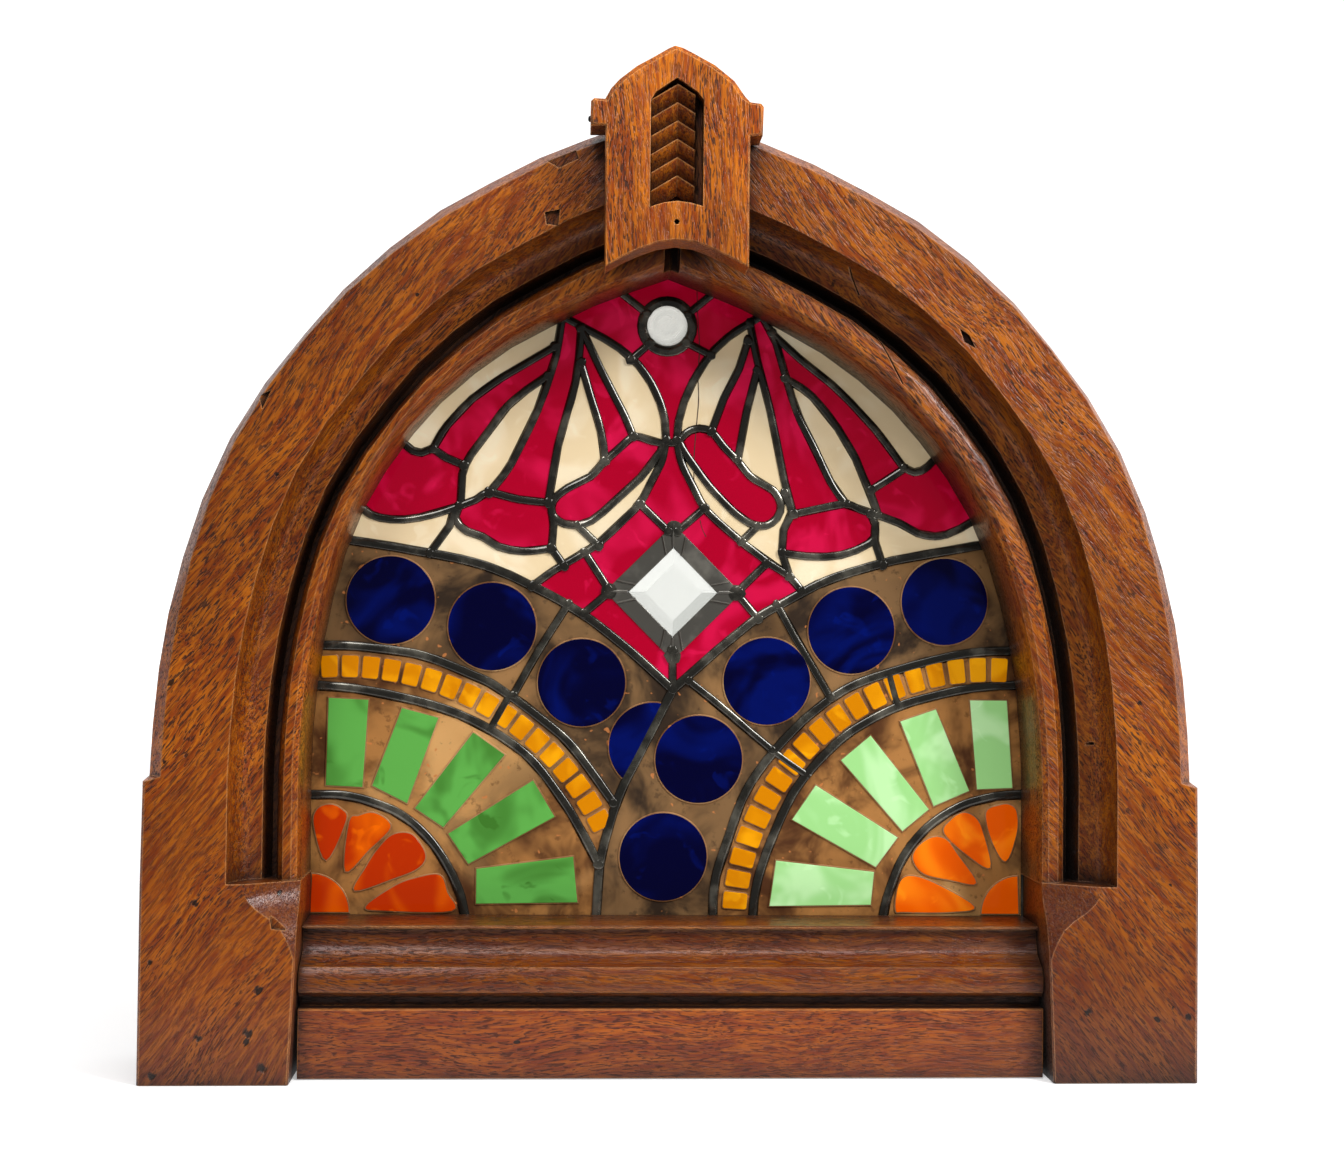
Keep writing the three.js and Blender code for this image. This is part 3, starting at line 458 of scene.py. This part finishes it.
def rgb(code):
    """A colour from its six-figure code, as a linear RGBA value."""
    parts = [int(code[i:i + 2], 16) / 255 for i in (0, 2, 4)]
    return tuple(c / 12.92 if c <= 0.04045 else ((c + 0.055) / 1.055) ** 2.4 for c in parts) + (1.0,)


# ------------------------------------------------------------------ finishes
# the darkest colour paints shade into hollows, corners and the reveal and darkens nail holes; the palest is
# arris wear with a painted highlight
OAK = {"deep": rgb("481A05"), "body": rgb("8E3F0A"), "warm": rgb("C4700F"), "pore": rgb("1E0902"),
       "hollow_shade": rgb("0C0502"), "worn": rgb("ECB070")}


def oak(name, grain, tone, marks=(), recess_shade=0.85):
    """Varnished oak. grain is the turn of the fibres in degrees: 0 stands them upright, 90 lays them along X.
    tone multiplies its colour. marks are nail holes and dents, each x, z and radius in millimetres on the
    front. recess_shade is how dark the painted shade in its hollows and reveal is."""
    s = Shade(name)
    place = s.place()
    level = s.node("ShaderNodeSeparateXYZ", None, {0: place}, output="Z")
    behind = s.node("ShaderNodeSeparateXYZ", None, {0: place}, output="Y")
    sway = s.node("ShaderNodeTexNoise", None, {"Vector": place, "Scale": 11.0, "Detail": 1.0}, output="Color")
    swayed = s.node("ShaderNodeVectorMath", {"operation": "MULTIPLY_ADD"},
                    {0: sway, 1: (0.02, 0.02, 0.02), 2: place})
    along = s.turned(swayed, (0, grain, 0), (1, 1, 0.10))
    # the grain: broad drift, bands, fibres and open pores
    drift = s.noise(along, 26.0, 2.0, 0.5, 0.4)
    bands = s.noise(along, 290.0, 3.0, 0.65, 0.5)
    fibre = s.noise(s.turned(swayed, (0, grain, 0), (1, 1, 0.08)), 760.0, 2.0, 0.6, 0.3)
    pore_place = s.turned(swayed, (0, grain, 0), (1, 1, 0.13))
    pores = s.noise(pore_place, 1150.0, 1.0, 0.5, 0.35)
    patches = s.noise(place, 7.0, 2.0, 0.5)
    pore_field = s.noise(along, 30.0, 2.0, 0.5)
    pore = pores.ramp(0.555, 0.62) * (pore_field.ramp(0.30, 0.60) * 0.75 + 0.25)
    # how open each place is, near by and farther off
    hollow_shade = s.node("ShaderNodeAmbientOcclusion", {"samples": 4}, {"Distance": 0.010}, output="AO")
    depth = s.node("ShaderNodeAmbientOcclusion", {"samples": 3}, {"Distance": 0.060}, output="AO")
    colour = s.mix(bands.ramp(0.36, 0.64), OAK["body"], OAK["warm"])
    colour = s.mix(drift.ramp(0.42, 0.68) * 0.28, colour, OAK["deep"])
    colour = s.mix(fibre.ramp(0.50, 0.64) * 0.55, colour, OAK["deep"])
    colour = s.mix(patches.ramp(0.48, 0.70) * 0.3, colour, OAK["deep"])
    colour = s.mix(pore * 0.82, colour, OAK["pore"])
    # painted shade darker towards the foot, in hollows, corners and the reveal; a dark ogee stop; arrises
    # with real wear and a painted highlight
    edges = s.node("ShaderNodeBevel", {"samples": 3}, {"Radius": 0.0012})
    facing = s.node("ShaderNodeNewGeometry", output="Normal")
    bend = s.dot(edges, facing)
    arris = bend.ramp(0.985, 0.90) * hollow_shade.ramp(0.55, 0.80)
    # painted shade: darker towards the foot
    colour = s.mix(level.ramp(0.22, 0.02) * 0.50, colour, OAK["deep"])
    # painted shade in the hollows, from the wider occlusion
    colour = s.mix((1 - depth.ramp(0.25, 0.88)) * recess_shade, colour, OAK["hollow_shade"])
    # painted shade in corners and creases, from the near occlusion
    colour = s.mix((1 - hollow_shade.ramp(0.35, 0.95)) * 0.72, colour, OAK["hollow_shade"])
    # painted shade in the reveal behind the face
    reveal = behind.ramp(FACE_Y + 0.039, FACE_Y + 0.053) * (1 - depth.ramp(0.60, 0.98))
    colour = s.mix(reveal * recess_shade, colour, OAK["hollow_shade"])
    front = s.dot(facing, (0, -1, 0))
    bevelled = front.ramp(0.975, 0.94) * front.ramp(0.25, 0.45)
    ogee_stop = bevelled * level.ramp(0.1200, 0.1175) * level.ramp(0.072, 0.080)
    colour = s.mix(ogee_stop * 0.6, colour, OAK["deep"])
    # the arrises: real wear with a painted highlight
    colour = s.mix(arris * (0.35 + bands * 0.6), colour, OAK["worn"])
    # dents and nail holes
    dents = None
    flat = s.node("ShaderNodeVectorMath", {"operation": "MULTIPLY"}, {0: place, 1: (1, 0, 1)})
    ragged = (s.noise(pore_place, 420.0, 2.0, 0.6) - 0.5) * 0.006
    for x, z, radius in marks:
        centre = (x * MM, 0.0, z * MM)
        away = s.node("ShaderNodeVectorMath", {"operation": "DISTANCE"}, {0: flat, 1: centre}, output="Value")
        hole = (away + ragged).ramp(radius * 1.25 * MM, radius * 0.7 * MM)
        dents = hole if dents is None else dents.most(hole)
    if dents is not None:
        colour = s.mix(dents * 0.93, colour, OAK["hollow_shade"])
    colour = s.mix(1.0, colour, (*tone, 1), "MULTIPLY")
    height = bands * 0.45 - pore * 0.9 - fibre.ramp(0.50, 0.64) * 0.35
    if dents is not None:
        height = height - dents * 3.0
    rough = 0.26 + bands * 0.12 + pore * 0.3 + (1 - hollow_shade) * 0.3
    return s.finish(Base_Color=colour, Roughness=rough, Normal=s.bump(height, 0.7, 0.0007, edges),
                    Specular_IOR_Level=0.32, Coat_Weight=0.10, Coat_Roughness=0.12)


def stained(name, deep, light, glow, veil):
    """Coloured glass: smooth, a little wavy, with streaks and drops of another tint. glow is a painted glow
    that stands in for the daylight coming through it, veil how strongly the lighter tint lies over the deep
    one."""
    s = Shade(name)
    place = s.place()
    streaks = s.noise(s.turned(place, (0, 35, 0)), 16.0, 2.0, 0.5, 1.6)
    drops = s.noise(place, 60.0, 2.0, 0.5, 0.8)
    waves = s.noise(place, 24.0, 1.0, 0.4)
    tint = s.mix((streaks.ramp(0.44, 0.66) * 0.8 + drops.ramp(0.60, 0.72) * 0.5).held() * veil, deep, light)
    return s.finish(Base_Color=tint, Roughness=0.07, Normal=s.bump(waves, 0.14, 0.004), Emission_Color=tint,
                    Emission_Strength=glow, Specular_IOR_Level=0.14)


def copper(name, dark, middle, light, shine):
    """Copper sheet under an uneven brown patina."""
    s = Shade(name)
    place = s.place()
    cloud = s.noise(place, 22.0, 4.0, 0.6, 0.6)
    speck = s.noise(place, 160.0, 3.0, 0.6)
    blush = s.noise(place, 9.0, 2.0, 0.5, 1.0)
    tint = s.mix(cloud.ramp(0.36, 0.62), dark, middle)
    tint = s.mix(blush.ramp(0.50, 0.68) * 0.7, tint, light)
    tint = s.mix(speck.ramp(0.58, 0.70) * 0.5, tint, dark)
    tint = s.mix(s.noise(place, 210.0, 1.0, 0.5).ramp(0.70, 0.76) * 0.8, tint, rgb("E08C4C"))
    return s.finish(Base_Color=tint, Metallic=shine, Roughness=0.34 + cloud * 0.3,
                    Normal=s.bump(cloud * 0.6 + speck * 0.4, 0.25, 0.0008))


def lead(name, dark, rubbed, rough):
    """Blackened lead, rubbed brighter here and there."""
    s = Shade(name)
    place = s.place()
    cloud = s.noise(place, 45.0, 3.0, 0.6)
    fine = s.noise(place, 320.0, 2.0, 0.6)
    tint = s.mix(cloud.ramp(0.45, 0.75), dark, rubbed)
    return s.finish(Base_Color=tint, Metallic=0.6, Roughness=rough + fine * 0.16, Coat_Weight=0.5,
                    Coat_Roughness=0.06, Normal=s.bump(fine * 0.3 + cloud, 0.12, 0.0005))


def clear_glass(name, pale, shaded, glow):
    """Clear cut glass with a faint painted glow, whose facets turned down and away are painted greyer as
    painted shade.
    """
    s = Shade(name)
    facing = s.node("ShaderNodeNewGeometry", output="Normal")
    turn = s.dot(facing, (-0.45, -0.45, 0.75))
    tint = s.mix(turn.ramp(-0.15, 0.75), shaded, pale)
    return s.finish(Base_Color=tint, Roughness=0.03, Transmission_Weight=0.72, IOR=1.5, Emission_Color=pale,
                    Emission_Strength=glow)


LEFT_MARKS = [(-301, 237, 1.6), (-272, 197, 1.5), (-247, 56, 2.1), (-253, 30.5, 2.6), (-254, 26, 2.0),
              (-282, 28, 2.0), (-244, 10, 2.7), (-309, 6, 1.9), (-310, 72, 1.6), (-285, 107, 1.5),
              (-241, 361, 1.3), (-304, 190, 1.0), (-160, 470, 1.0), (-262, 300, 0.9), (-238, 112, 1.3)]
RIGHT_MARKS = [(249.5, 43, 2.0), (292, 38.5, 1.6), (311, 40, 2.2), (302, 46, 1.1), (280, 230, 1.0),
               (232, 400, 1.0), (150, 505, 1.1), (300, 120, 0.9)]
# each piece's tone is partly its own colour and partly painted light and shade, lifting or lowering it as the
# lamps leave it
FINISH = {
    "arch_left": oak("oak of the left arch", -38, (1.0, 0.91, 0.84), LEFT_MARKS, 0.75),
    "arch_right": oak("oak of the right arch", 42, (0.92, 0.87, 1.10), RIGHT_MARKS, 0.96),
    "keystone": oak("oak of the keystone", 4, (1.30, 1.19, 1.0), recess_shade=0.4),
    "sill_rail": oak("oak of the sill", 88, (0.80, 0.73, 0.64), recess_shade=0.7),
    "base_board": oak("oak of the base board", 91, (1.42, 1.14, 0.70), [(-95, 22, 0.9), (120, 30, 0.8)]),
}
RUBY = stained("ruby glass", rgb("9C0022"), rgb("CC1448"), 0.42, 0.75)
CREAM = stained("cream opal glass", rgb("E6CFA6"), rgb("F4E4C4"), 0.20, 0.9)
COBALT = stained("cobalt glass", rgb("000026"), rgb("00187C"), 0.25, 0.45)
AMBER_GLASS = stained("amber glass", rgb("C27600"), rgb("ECA40A"), 0.32, 0.8)
MOSS = stained("mid green glass", rgb("58A046"), rgb("356820"), 0.24, 0.9)
SPRING = stained("pale green glass", rgb("94CC80"), rgb("C0E8B0"), 0.28, 0.8)
FLAME_LEFT = stained("deep orange glass", rgb("A42800"), rgb("D86000"), 0.40, 0.9)
FLAME_RIGHT = stained("orange glass", rgb("D04E00"), rgb("F08210"), 0.42, 0.9)
COPPER = {
    "band": copper("copper of the bands", rgb("38281A"), rgb("8E6A42"), rgb("C8945A"), 0.45),
    "fan": copper("copper of the fans", rgb("5E3618"), rgb("C48848"), rgb("FFC880"), 0.5),
    "rim": copper("rubbed copper rims", rgb("80542E"), rgb("B4865A"), rgb("E0B680"), 0.55),
}
LEAD = lead("lead", rgb("2C2A24"), rgb("787468"), 0.10)
FLAT_LEAD = lead("flat lead", rgb("5E5B54"), rgb("8C887E"), 0.30)
CRYSTAL = clear_glass("clear cut glass", rgb("F6F7F2"), rgb("8E928C"), 0.09)
PRESSED = clear_glass("clear pressed glass", rgb("F4F3EC"), rgb("C0C1BA"), 0.06)


# ------------------------------------------------------------------ oak frame
def soft_arrises():
    """Nodes that join a CAD solid's facets and shade its mouldings smooth, leaving true arrises sharp."""
    group = bpy.data.node_groups.new("soft arrises", "GeometryNodeTree")
    group.interface.new_socket("Geometry", in_out="INPUT", socket_type="NodeSocketGeometry")
    group.interface.new_socket("Geometry", in_out="OUTPUT", socket_type="NodeSocketGeometry")
    nodes = group.nodes
    start = nodes.new("NodeGroupInput")
    end = nodes.new("NodeGroupOutput")
    join = nodes.new("GeometryNodeMergeByDistance")
    join.inputs["Distance"].default_value = 0.00002
    smooth_all = nodes.new("GeometryNodeSetShadeSmooth")
    angle = nodes.new("GeometryNodeInputMeshEdgeAngle")
    over = nodes.new("FunctionNodeCompare")
    over.data_type = "FLOAT"
    over.operation = "GREATER_THAN"
    over.inputs[1].default_value = math.radians(33)
    sharp = nodes.new("GeometryNodeSetShadeSmooth")
    sharp.domain = "EDGE"
    sharp.inputs["Shade Smooth"].default_value = False
    links = group.links
    links.new(start.outputs[0], join.inputs["Geometry"])
    links.new(join.outputs[0], smooth_all.inputs["Geometry"])
    links.new(angle.outputs["Unsigned Angle"], over.inputs[0])
    links.new(smooth_all.outputs[0], sharp.inputs["Geometry"])
    links.new(over.outputs[0], sharp.inputs["Selection"])
    links.new(sharp.outputs[0], end.inputs[0])
    return group


def dress(node, material):
    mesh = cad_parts[node].data
    mesh.materials.clear()
    mesh.materials.append(material)


SOFT = soft_arrises()
for node, material in FINISH.items():
    dress(node, material)
    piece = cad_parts[node]
    piece.modifiers.new("soft arrises", "NODES").node_group = SOFT
    flats = piece.modifiers.new("flats", "WEIGHTED_NORMAL")
    flats.keep_sharp = True

# ------------------------------------------------------------------ glass of the upper field
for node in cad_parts:
    if node.startswith("red_"):
        dress(node, RUBY)
    elif node.startswith("cream_"):
        dress(node, CREAM)
    elif node.startswith("plate_band"):
        dress(node, COPPER["band"])
    elif node.startswith("plate_"):
        dress(node, COPPER["fan"])
dress("bevelled_diamond", CRYSTAL)


# ------------------------------------------------------------------ lead
def lead_network(bm):
    for line in ZONE_LINES:
        came(bm, smooth(line, steps=6), ARC_WIDTH)
    for line in LINES + FALSE_LEADS:
        came(bm, smooth(line, steps=6), CAME_WIDTH)
    for line in LOOPS:
        came(bm, smooth(line, closed=True), CAME_WIDTH, closed=True)
    middle = (JEWEL["glass"] + JEWEL["ring"]) / 2
    ring = [Vector(p) for p in ring_points(JEWEL["x"], JEWEL["z"], middle, 32)]
    came(bm, ring, JEWEL["ring"] - JEWEL["glass"], closed=True)
    came(bm, panel_edge(3.4), EDGE_WIDTH, closed=True, wander=0)


def flat_lead(bm):
    """The wide flat leads round the bevelled square, one to a side, mitred and seamed at the corners."""
    inner = DIAMOND["glass"] - 0.6
    outer = DIAMOND["lead"] + 0.7
    corners = [Vector((math.cos(a), math.sin(a))) for a in (0, math.pi / 2, math.pi, -math.pi / 2)]
    centre = Vector((DIAMOND["x"], DIAMOND["z"]))
    for i, corner in enumerate(corners):
        after = corners[(i + 1) % 4]
        strip = [centre + corner * inner, centre + corner * outer,
                 centre + after * outer, centre + after * inner]
        prism(bm, offset(strip, 0.12), CAME_FRONT + 0.8, CAME_BACK - 0.8, 0.5)
    for corner in corners:
        mitre_seam = [centre + corner * (inner + 1), centre + corner * (inner + outer) / 2,
                      centre + corner * outer]
        came(bm, mitre_seam, 2.6, wander=1.0)
        for other in corners:
            next_to = abs(other.dot(corner)) < 0.1
            if next_to:
                share = dice.uniform(0.13, 0.2)
                foot = corner * (1 - share) + other * share
                came(bm, [centre + foot * inner * 1.02, centre + foot * outer * 0.985], 2.0, wander=1.0)


def joints(bm):
    """Solder where leads meet: at each end of each line that lies inside the panel, clear of the bevelled
    square, and at the square's own corners."""
    nearest = 4.5
    square = Vector((DIAMOND["x"], DIAMOND["z"]))
    square_reach = 34
    ends = []
    for line in ZONE_LINES + LINES:
        for point in (line[0], line[-1]):
            if abs(point[0]) < 205 and 96 < point[1] < 480:
                if all((Vector(point) - Vector(other)).length > nearest for other in ends):
                    ends.append(point)
    for x, z in ends:
        if (Vector((x, z)) - square).length >= square_reach:
            solder(bm, x, z, dice.uniform(2.9, 3.6), 0.7)
    reach = DIAMOND["lead"] - 2
    for x, z in ((reach, 0), (-reach, 0), (0, reach), (0, -reach)):
        solder(bm, DIAMOND["x"] + x, DIAMOND["z"] + z, 5.2, 0.5)


cames = new_object("lead came network", lead_network, LEAD, 50)
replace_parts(cames, "lead_cames")
new_object("flat leads of the bevelled square", flat_lead, FLAT_LEAD, 30)
new_object("solder joints", joints, LEAD, 60)


# ------------------------------------------------------------------ jewel
def jewel(bm):
    """A pressed jewel: a domed front with a shallow ring round its middle."""
    sides = 48
    profile = [(12.9, 73.4), (12.9, 69.6), (12.0, 67.9), (10.2, 66.9), (8.6, 66.7), (7.6, 67.2), (5.5, 66.5),
               (2.5, 66.1), (0.4, 66.0)]
    rings = []
    for radius, y in profile:
        rings.append([spot(x, y, z) for x, z in ring_points(JEWEL["x"], JEWEL["z"], radius, sides)])
    skin(bm, rings)


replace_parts(new_object("jewel", jewel, PRESSED, 60), "jewel")


# ------------------------------------------------------------------ glass set in the copper plates
def ray_tile(hub, angle, length, outer, inner):
    """Outline of a tile on a ray from the hub, its corners cut a little."""
    x, z, mid = hub
    a = math.radians(angle)
    out = Vector((math.cos(a), math.sin(a)))
    across = Vector((-out.y, out.x))
    cut = 1.3
    corners = []
    for reach, width, sign in ((mid - length / 2, inner, 1), (mid + length / 2, outer, 1),
                               (mid + length / 2, outer, -1), (mid - length / 2, inner, -1)):
        corners.append(Vector((x, z)) + out * reach + across * width / 2 * sign)
    outline = []
    for i, corner in enumerate(corners):
        before = (corners[i - 1] - corner).normalized()
        after = (corners[(i + 1) % 4] - corner).normalized()
        rounded = corner + (before + after).normalized() * cut * 0.45
        outline += [corner + before * cut, rounded, corner + after * cut]
    return outline


def amber_row(side, count, first, last):
    rows = []
    for i in range(count):
        angle = first + (last - first) * i / (count - 1)
        rows.append(ray_tile(AMBER_HUB[side], angle, AMBER_LENGTH[side], outer=10.9, inner=10.1))
    return rows


def rim_slab(bm, outline):
    """A thin rim that shows round the glass which stands through it."""
    prism(bm, outline, GLASS_FRONT - 0.75, GLASS_BACK + 0.3, 0.3)


def glass_slab(bm, outline):
    """A piece of glass, a little prouder than its rim on both faces."""
    prism(bm, outline, GLASS_FRONT - 1.05, GLASS_BACK + 0.6, 0.35)


def set_glass(name, outlines, glass, rim=0.8):
    """Glass pieces standing through their copper plate, each in a thin rubbed copper rim."""
    def rims(bm):
        for outline in outlines:
            rim_slab(bm, offset(outline, -rim))
    new_object(f"copper rims of the {name}", rims, COPPER["rim"], 30)
    for i, outline in enumerate(outlines):
        new_object(f"{name} {i + 1}", lambda bm: glass_slab(bm, outline), glass, 30)


def rondels(places):
    return [[Vector(p) for p in ring_points(x, z, RONDEL_R, 64)] for x, z in places]


def eased(outlines):
    return [smooth(outline, closed=True) for outline in outlines]


def straight(outlines):
    return [[Vector(p) for p in outline] for outline in outlines]


set_glass("outer left roundel", rondels([(-179, 288), (-115, 272)]), COBALT)
set_glass("inner left roundel", rondels([(-58, 237)]), COBALT)
set_glass("outer right roundel", rondels([(174, 291), (114, 272)]), COBALT)
set_glass("inner right roundel", rondels([(60, 239)]), COBALT)
set_glass("lower roundel", rondels([(17, 189), (-5, 127)]), COBALT)
set_glass("left amber piece", amber_row("left", 17, 92.9, 28.4), AMBER_GLASS, 0.6)
set_glass("right amber piece", amber_row("right", 19, 87.6, 174.9), AMBER_GLASS, 0.6)
set_glass("left fan blade", straight(GREEN_LEFT), MOSS)
set_glass("right fan blade", straight(GREEN_RIGHT), SPRING)
set_glass("left petal", eased(PETAL_LEFT), FLAME_LEFT)
set_glass("right petal", eased(PETAL_RIGHT), FLAME_RIGHT)


def quarter(x, z, radius, start, stop):
    """A quarter disc standing on the sill in the panel's corner."""
    turns = [math.radians(start + (stop - start) * k / 12) for k in range(13)]
    return [Vector((x, z))] + [Vector((x + radius * math.cos(t), z + radius * math.sin(t))) for t in turns]


set_glass("left sun", [quarter(-226.5, 91.5, 24, 0, 88)], FLAME_LEFT)
set_glass("right sun", [quarter(223.5, 91.5, 24, 92, 180)], FLAME_RIGHT)


def part_roundel(grow=0.0):
    """Outline of the roundel whose right side runs under the long arc of lead."""
    whole = [Vector(p) for p in ring_points(-12.5, 197, RONDEL_R + grow, 64)]
    border = smooth(ZONE_LINES[2], steps=6)

    def held(point):
        for a, b in zip(border, border[1:]):
            if min(a.y, b.y) <= point.y <= max(a.y, b.y):
                limit = a.x + (b.x - a.x) * (point.y - a.y) / (b.y - a.y or 1)
                return Vector((min(point.x, limit), point.y))
        return point
    return [held(p) for p in whole]


new_object("copper rim of the part roundel", lambda bm: rim_slab(bm, part_roundel(grow=0.8)),
           COPPER["rim"], 30)
new_object("part roundel", lambda bm: glass_slab(bm, part_roundel()),
           COBALT, 30)

# ------------------------------------------------------------------ wear on the panel and frame
MENDED_CRACK = [(12.7, 489), (13.4, 472), (14.7, 452), (14.0, 434), (14.5, 418), (13.2, 400), (12.0, 381),
                (12.2, 361)]
SCRATCH = [(16.2, 341.5), (17.6, 336.0), (20.2, 330.7)]


def seam(bm, path, width):
    """A thin raised line of old cement lying on the front of the glass."""
    rings = []
    for point, across in zip(path, mitre(path, False)):
        half = width / 2 * (0.7 + 0.5 * abs(noise.noise((point.x, point.y * 0.3, 1.0))))
        left = point - across * half
        right = point + across * half
        rings.append([spot(left.x, GLASS_FRONT + 0.2, left.y), spot(left.x, GLASS_FRONT - 0.12, left.y),
                      spot(right.x, GLASS_FRONT - 0.12, right.y), spot(right.x, GLASS_FRONT + 0.2, right.y)])
    skin(bm, rings)


CEMENT = Shade("old brown cement").finish(Base_Color=rgb("3A1E10"), Roughness=0.5)
new_object("mended crack", lambda bm: seam(bm, smooth(MENDED_CRACK), 0.7), CEMENT)
new_object("scratch", lambda bm: seam(bm, smooth(SCRATCH), 0.5), CEMENT)


def peg(bm):
    """The dark head of a peg in the left side of the keystone's ear."""
    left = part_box("keystone")[0].x
    rings = []
    for out, radius in ((-1.0, 1.9), (0.6, 1.9), (1.3, 1.4), (1.5, 0.4)):
        rings.append([Vector((left - out * MM, FACE_Y - 0.013 + y * MM, 0.5745 + z * MM))
                      for y, z in ring_points(0, 0, radius, 12)])
    skin(bm, rings)


DARK = Shade("dark peg").finish(Base_Color=rgb("140B06"), Roughness=0.4)
new_object("peg in the keystone", peg, DARK, 40)

# ------------------------------------------------------------------ floor, light and camera
def lit(name, grey, glow):
    """A pale matt studio surface that gives a little light of its own."""
    return Shade(name).finish(Base_Color=(grey, grey, grey, 1), Roughness=0.9, Emission_Color=(1, 1, 1, 1),
                              Emission_Strength=glow)


SHEET_HALF = 6.0


def stage_sheet(name, place, material, upright=False):
    bm = bmesh.new()
    bmesh.ops.create_grid(bm, x_segments=1, y_segments=1, size=SHEET_HALF)
    mesh = bpy.data.meshes.new(name)
    bm.to_mesh(mesh)
    bm.free()
    mesh.materials.append(material)
    sheet = bpy.data.objects.new(name, mesh)
    sheet.location = place
    if upright:
        sheet.rotation_euler.x = math.pi / 2
    bpy.context.scene.collection.objects.link(sheet)


# the floor ends close in front of the window, so that the glass mirrors no bright floor
FLOOR_MIDDLE = FACE_Y + 5.79
stage_sheet("floor", (0, FLOOR_MIDDLE, FLOOR_Z - 0.0003), lit("pale floor", 0.86, 0.36))
stage_sheet("backdrop", (0, 3.0, FLOOR_Z), lit("pale backdrop", 0.5, 0.86), upright=True)
bpy.context.scene.view_settings.view_transform = "Standard"

world = bpy.context.scene.world or bpy.data.worlds.new("studio")
bpy.context.scene.world = world
world.use_nodes = True
world.node_tree.nodes["Background"].inputs["Color"].default_value = (1.0, 1.0, 1.0, 1)
world.node_tree.nodes["Background"].inputs["Strength"].default_value = 0.20


def soft_box(name, place, aim, width, height, power):
    lamp = bpy.data.lights.new(name, "AREA")
    lamp.shape = "RECTANGLE"
    lamp.size = width
    lamp.size_y = height
    lamp.energy = power
    holder = bpy.data.objects.new(name, lamp)
    holder.location = place
    holder.rotation_euler = (Vector(aim) - Vector(place)).to_track_quat("-Z", "Y").to_euler()
    bpy.context.scene.collection.objects.link(holder)


CENTRE = (0, 0, 0.3)
soft_box("key", (1.5, -1.3, 1.5), CENTRE, 0.5, 0.9, 44)
soft_box("fill", (-0.5, -1.6, 1.9), CENTRE, 0.5, 0.9, 15)
soft_box("top", (0.1, -0.7, 2.1), (0, 0, 0.45), 1.2, 0.4, 15)

lens = bpy.data.cameras.new("camera")
lens.lens = 50.9
lens.sensor_width = 36
camera = bpy.data.objects.new("camera", lens)
camera.location = (-0.0689, FACE_Y - 1.138, 0.2735)
camera.rotation_euler = Euler([math.radians(a) for a in (91.24, -0.63, -3.22)])
bpy.context.scene.collection.objects.link(camera)
bpy.context.scene.camera = camera
